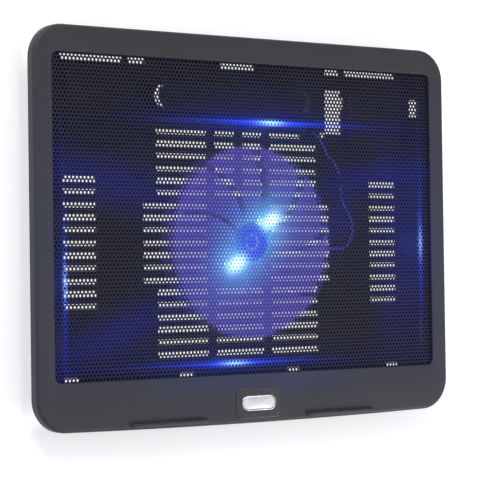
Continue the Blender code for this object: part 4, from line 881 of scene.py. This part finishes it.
# ---------------------------------------------------------------- stops and badge
def make_stops():
    """Two bars along the front edge. A bar's section is a squarish arch, y = half width cos a and
    z = height sin a with both cosine and sine to the same power, and it shrinks towards each end as a
    quarter circle."""
    front = FRAME_LOW.y + STOP_INSET
    for side, name in ((-1, "notebook_stop_left"), (1, "notebook_stop_right")):
        along = np.linspace(0, 1, STOP_STEPS)
        end = np.minimum(np.minimum(along, 1 - along) * STOP_LENGTH / STOP_END, 1.0)
        swell = np.sqrt(1 - (1 - end) ** 2)
        angle = np.linspace(0, math.pi, STOP_SIDES)
        across = np.sign(np.cos(angle)) * np.abs(np.cos(angle)) ** STOP_ARCH * STOP_WIDTH / 2
        rise = np.sin(angle) ** STOP_ARCH * STOP_HEIGHT
        x = side * (STOP_INNER + along * STOP_LENGTH)
        shape = np.stack(
            [
                np.repeat(x[:, None], STOP_SIDES, 1),
                front + STOP_WIDTH / 2 + np.outer(0.5 + 0.5 * swell, across),
                BEZEL_TOP - STOP_SINK + np.outer(swell, rise + STOP_SINK),
            ],
            2,
        ).reshape(-1, 3)
        foot = np.arange(STOP_STEPS) * STOP_SIDES
        under = np.stack([foot[:-1], foot[1:], foot[1:] + STOP_SIDES - 1, foot[:-1] + STOP_SIDES - 1], 1)
        caps = [np.arange(STOP_SIDES)[None, :], (foot[-1] + np.arange(STOP_SIDES))[None, ::-1]]
        mesh = surface(name, [(shape, [grid_faces(STOP_STEPS, STOP_SIDES), under, *caps])])
        piece(name, mesh, FRAME_PLASTIC, "base", "frame_plastic")


def stadium(half_x, half_y, centre):
    """Points (n, 2) round a bar with half-round ends, anticlockwise."""
    right = arc((centre.x + half_x - half_y, centre.y), half_y, -90, 90, OVAL_STEPS)
    left = arc((centre.x - half_x + half_y, centre.y), half_y, 90, 270, OVAL_STEPS)
    return np.concatenate([right, left])


def make_badge():
    """A lacquered plate with softened edges, a half-round chrome band and a domed silver face."""
    middle = (BADGE_LOW + BADGE_HIGH) / 2
    half_x = BADGE_HIGH.x - middle.x
    rings = [(rounded_outline(half_x, BADGE_LOW.y, BADGE_HIGH.y, BADGE_CORNER), BADGE_LOW.z)]
    for inset, z in arc((BADGE_EDGE, BADGE_HIGH.z - BADGE_EDGE), BADGE_EDGE, 180, 90, 4):
        front, rear = BADGE_LOW.y + inset, BADGE_HIGH.y - inset
        rings.append((rounded_outline(half_x - inset, front, rear, BADGE_CORNER - inset), z))
    points, faces = loft(rings, closed=False)
    count = len(rings[0][0])
    faces += [np.arange(count)[None, ::-1], (len(points) - count + np.arange(count))[None, :]]
    piece("badge", surface("badge", [(points, faces)]), BADGE_GLOSS, "base", "badge_gloss", "badge_plate")

    band_x = (BAND_HIGH.x - BAND_LOW.x) / 2
    band_y = (BAND_HIGH.y - BAND_LOW.y) / 2
    face_x = (OVAL_HIGH.x - OVAL_LOW.x) / 2
    width = band_x - face_x
    rings = []
    for inset, z in arc((width / 2, BAND_HIGH.z - width / 2), width / 2, 180, 0, 8):
        rings.append((stadium(band_x - inset, band_y - inset, middle), z))
    inner = stadium(band_x - width, band_y - width, middle)
    rings += [(inner, BAND_LOW.z), (stadium(band_x, band_y, middle), BAND_LOW.z)]
    mesh = surface("badge_band", [loft(rings)])
    piece("badge_band", mesh, BADGE_CHROME, "base", "badge_chrome", "badge_ring")

    rings = [(inner * 0 + (middle.x, middle.y), OVAL_LOW.z), (inner, OVAL_LOW.z)]
    for share in np.linspace(1, 0, 9):
        ring = (inner - (middle.x, middle.y)) * share + (middle.x, middle.y)
        rings.append((ring, OVAL_HIGH.z - OVAL_DOME * share**2))
    mesh = surface("badge_oval", [loft(rings, closed=False)])
    piece("badge_oval", mesh, BADGE_SILVER, "base", "badge_silver", "badge_face")


# ---------------------------------------------------------------- perforated sheet
def make_perforated_sheet():
    """Hexagonal cells in staggered rows, each with a round hole. A cell's six corners are at radius
    pitch / root 3 and are shared with its neighbours, and its hole's points are at the hole's radius, on
    both faces. The outermost cells reach under the bezel. The sheet is made as strips of rows."""
    spacing = HOLE_PITCH * math.sqrt(3) / 2
    corner = HOLE_PITCH / math.sqrt(3)
    columns = int((SHEET_HIGH.x - SHEET_LOW.x) / HOLE_PITCH - 0.5)
    rows = int((SHEET_HIGH.y - SHEET_LOW.y - 2 * corner) / spacing) + 1
    middle_y = (SHEET_HIGH.y + SHEET_LOW.y) / 2
    turns = np.radians(np.arange(6) * 60 + 30)
    steps = np.radians(np.arange(HOLE_SIDES) * 360 / HOLE_SIDES + 30)
    cell = np.concatenate(
        [
            np.stack([np.cos(turns), np.sin(turns)], 1) * corner,
            np.stack([np.cos(steps), np.sin(steps)], 1) * HOLE_RADIUS,
        ]
    )
    side = np.arange(6)
    after = (side + 1) % 6
    hole = 6 + 2 * side
    next_hole = 6 + (2 * side + 2) % HOLE_SIDES
    cell_faces = np.concatenate(
        [
            np.stack([side, after, hole + 1], 1),
            np.stack([side, hole + 1, hole], 1),
            np.stack([after, next_hole, hole + 1], 1),
        ]
    )
    limits = np.linspace(0, rows, SHEET_STRIPS + 1).round().astype(int)
    for strip, (start, stop) in enumerate(zip(limits, limits[1:]), 1):
        cells = np.meshgrid(np.arange(start, stop), np.arange(columns), indexing="ij")
        row, column = (a.ravel() for a in cells)
        x = (column - (columns - 1) / 2 + (row % 2) / 2 - 0.25) * HOLE_PITCH
        y = middle_y + (row - (rows - 1) / 2) * spacing
        flat = (np.stack([x, y], 1)[:, None, :] + cell).reshape(-1, 2)
        faces = (np.arange(len(x))[:, None, None] * len(cell) + cell_faces).reshape(-1, 3)
        rounded = np.round(flat, 6)
        first, shared = np.unique(rounded, axis=0, return_index=True, return_inverse=True)[1:]
        flat = flat[first]
        faces = shared.ravel()[faces]
        count = len(flat)
        edges = np.concatenate([faces[:, [0, 1]], faces[:, [1, 2]], faces[:, [2, 0]]])
        rim = edges[~np.isin(edges[:, 0] * count + edges[:, 1], edges[:, 1] * count + edges[:, 0])]
        walls = np.stack([rim[:, 1], rim[:, 0], rim[:, 0] + count, rim[:, 1] + count], 1)
        points = np.concatenate(
            [
                np.column_stack([flat, np.full(count, SHEET_HIGH.z)]),
                np.column_stack([flat, np.full(count, SHEET_LOW.z)]),
            ]
        )
        name = f"perforated_sheet_{strip}"
        mesh = build_mesh(name, points, [faces, faces[:, ::-1] + count, walls])
        made = piece(name, mesh, SHEET_STEEL, "base", "sheet_steel")
        if strip == 1:
            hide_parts("mesh_panel")


# ---------------------------------------------------------------- fan
def make_fan():
    """A turned hub, and wide vanes that sweep back with the radius and climb over their span. A vane is
    two grids a wall apart, its angle growing with the radius and its height with the share of the span."""
    under = ROTOR_LOW.z
    high = ROTOR_HIGH.z
    dish = high - HUB_DISH
    cap = high - HUB_CAP
    blade_under = high - HUB_LIP - BLADE_HEIGHT
    profile = [(0.0, dish), (HUB_RING_IN, dish), (HUB_RING_IN + HUB_BEVEL, high)]
    profile += [(HUB_RING_OUT - HUB_BEVEL, high), (HUB_RING_OUT, dish)]
    profile += [(HUB_STEP, dish), (HUB_STEP + HUB_BEVEL, high - HUB_DROP)]
    shoulder = (HUB_RADIUS - HUB_EDGE, high - HUB_EDGE - HUB_DROP)
    profile += [tuple(p) for p in arc(shoulder, HUB_EDGE, 90, 0)]
    profile += [(HUB_RADIUS, under), (HUB_BORE, under), (HUB_BORE, cap), (0.0, cap)]
    shapes = [turned(profile, HUB_TURNS, (FAN_CENTRE.x, FAN_CENTRE.y))]
    share = np.linspace(0, 1, BLADE_ROWS)[:, None]
    across = np.linspace(0, 1, BLADE_COLUMNS)[None, :]
    root = HUB_RADIUS - BLADE_ROOT
    radius = root + (FAN_RADIUS - root) * share + 0 * across
    drop = BLADE_HOLLOW * np.sin(math.pi * share) * (1 - across)
    height = BLADE_WALL + (BLADE_HEIGHT - BLADE_WALL) * across**1.15 * (1 - drop)
    for blade in range(BLADES):
        angle = math.tau * blade / BLADES + BLADE_SWEEP * share**1.4 + BLADE_SPAN * (across - 0.5)
        top = np.stack([radius * np.cos(angle), radius * np.sin(angle), blade_under + height], 2)
        top = top.reshape(-1, 3) + (FAN_CENTRE.x, FAN_CENTRE.y, 0.0)
        underside = top - (0.0, 0.0, BLADE_WALL)
        count = BLADE_ROWS * BLADE_COLUMNS
        faces = grid_faces(BLADE_ROWS, BLADE_COLUMNS)
        number = np.arange(count).reshape(BLADE_ROWS, BLADE_COLUMNS)
        edge = np.concatenate([number[0], number[1:, -1], number[-1, -2::-1], number[-2:0:-1, 0]])
        after = np.roll(edge, -1)
        walls = np.stack([edge, after, after + count, edge + count], 1)
        shapes.append((np.concatenate([top, underside]), [faces, faces[:, ::-1] + count, walls]))
    piece("fan", surface("fan", shapes), BLADE_PLASTIC, "fan", "blade_plastic", "fan_rotor")


def make_lamps():
    """Each light is a collared epoxy dome: a cylinder, a ledge and a quarter of an ellipse."""
    for name in ("led_1", "led_2"):
        low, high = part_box(name)
        middle = (low + high) / 2
        radius = (high.x - low.x) / 2
        ledge = low.z + (high.z - low.z) * LAMP_LEDGE
        dome = radius * LAMP_DOME
        profile = [(0.0, low.z), (radius, low.z), (radius, ledge), (dome, ledge)]
        rise = np.radians(np.linspace(0, 90, 10))
        profile += [(dome * math.cos(a), ledge + (high.z - ledge) * math.sin(a)) for a in rise]
        mesh = surface(f"lamp_{name[-1]}", [turned(profile, LAMP_TURNS, (middle.x, middle.y))])
        piece(f"lamp_{name[-1]}", mesh, LAMP_EPOXY, "base", "led_epoxy", name)


# ---------------------------------------------------------------- feet
def make_feet():
    """A turned rubber foot: a straight wall, a rounded shoulder, two grip rings and a dished middle."""
    for name in ("foot_front_left", "foot_front_right", "foot_rear_left", "foot_rear_right"):
        low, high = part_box(name)
        middle = (low + high) / 2
        radius = (high.x - low.x) / 2
        profile = [(0.0, high.z), (radius, high.z)]
        profile += [tuple(p) for p in arc((radius - FOOT_EDGE, low.z + FOOT_EDGE), FOOT_EDGE, 0, -90)]
        for groove in (0.72, 0.48):
            outer = radius * groove
            inner = outer - FOOT_GROOVE / 2
            profile += [(outer + FOOT_GROOVE, low.z), (outer, low.z + FOOT_GROOVE)]
            profile += [(inner, low.z + FOOT_GROOVE), (inner - FOOT_GROOVE, low.z)]
        profile += [(radius * 0.26, low.z), (0.0, low.z + 0.0003)]
        mesh = surface("pad_" + name, [turned(profile, FOOT_TURNS, (middle.x, middle.y))])
        piece("pad_" + name, mesh, RUBBER, "base", "rubber", name)


# ---------------------------------------------------------------- camera, light and stage
def make_camera():
    camera = bpy.data.objects.new("camera", bpy.data.cameras.new("camera"))
    camera.location = (-0.7365, -0.0281, 1.0302)
    camera.rotation_euler = Euler([math.radians(a) for a in (1.604, -35.607, -0.979)])
    camera.data.lens = 144.1
    camera.data.sensor_width = 36.0
    camera.data.clip_start = 0.01
    bpy.context.scene.collection.objects.link(camera)
    bpy.context.scene.camera = camera


def make_light(name, location, size, power):
    lamp = bpy.data.lights.new(name, "AREA")
    lamp.shape = "DISK"
    lamp.size = size
    lamp.energy = power
    made = bpy.data.objects.new(name, lamp)
    made.location = location
    made.rotation_euler = (Vector((0, 0, 0)) - Vector(location)).to_track_quat("-Z", "Y").to_euler()
    bpy.context.scene.collection.objects.link(made)


def make_stage():
    """A pale floor that is clear from below. It glows a little, and more under the pad, which shades
    it, so that it shows white through the pad's openings."""
    far = FLOOR_HALF
    mesh = build_mesh(
        "floor",
        np.array([(-far, -far, 0), (far, -far, 0), (far, far, 0), (-far, far, 0)]),
        [np.array([[0, 1, 2, 3]])],
    )
    material, tree, shader = start_material("pale_floor", roughness=0.6, specular=0.2)
    shader.inputs["Base Color"].default_value = (0.85, 0.85, 0.86, 1.0)
    shader.inputs["Emission Color"].default_value = (1.0, 1.0, 1.0, 1.0)
    away = vector(tree, "ABSOLUTE", object_place(tree))
    apart = place(tree, "ShaderNodeSeparateXYZ", {0: vector(tree, "SUBTRACT", away, LIT_HALF)})
    outside = maths(tree, "MAXIMUM", apart.outputs["X"], apart.outputs["Y"])
    lift = mapped(tree, outside, 0.0, LIT_EDGE, LIT_UNDER_PAD, LIT_OUTSIDE)
    tree.links.new(lift, shader.inputs["Emission Strength"])
    clear = place(tree, "ShaderNodeBsdfTransparent")
    facing = place(tree, "ShaderNodeNewGeometry").outputs["Backfacing"]
    mix = place(tree, "ShaderNodeMixShader", {0: facing, 1: shader.outputs[0], 2: clear.outputs[0]})
    tree.links.new(mix.outputs[0], tree.nodes["Material Output"].inputs["Surface"])
    mesh.materials.append(material)
    floor = bpy.data.objects.new("floor", mesh)
    bpy.context.scene.collection.objects.link(floor)
    world = bpy.data.worlds.new("studio")
    world.use_nodes = True
    world.node_tree.nodes["Background"].inputs["Color"].default_value = (0.95, 0.97, 1.0, 1.0)
    world.node_tree.nodes["Background"].inputs["Strength"].default_value = 0.64
    bpy.context.scene.world = world
    bpy.context.scene.view_settings.view_transform = "Standard"
    make_light("window", (-0.7, 1.5, 1.4), 1.0, 24.0)
    make_light("fill", (1.6, -1.2, 1.2), 1.0, 20.0)


dress_cad_nodes()
make_bezel()
make_stops()
make_badge()
make_perforated_sheet()
make_fan()
make_lamps()
make_feet()
make_camera()
make_stage()
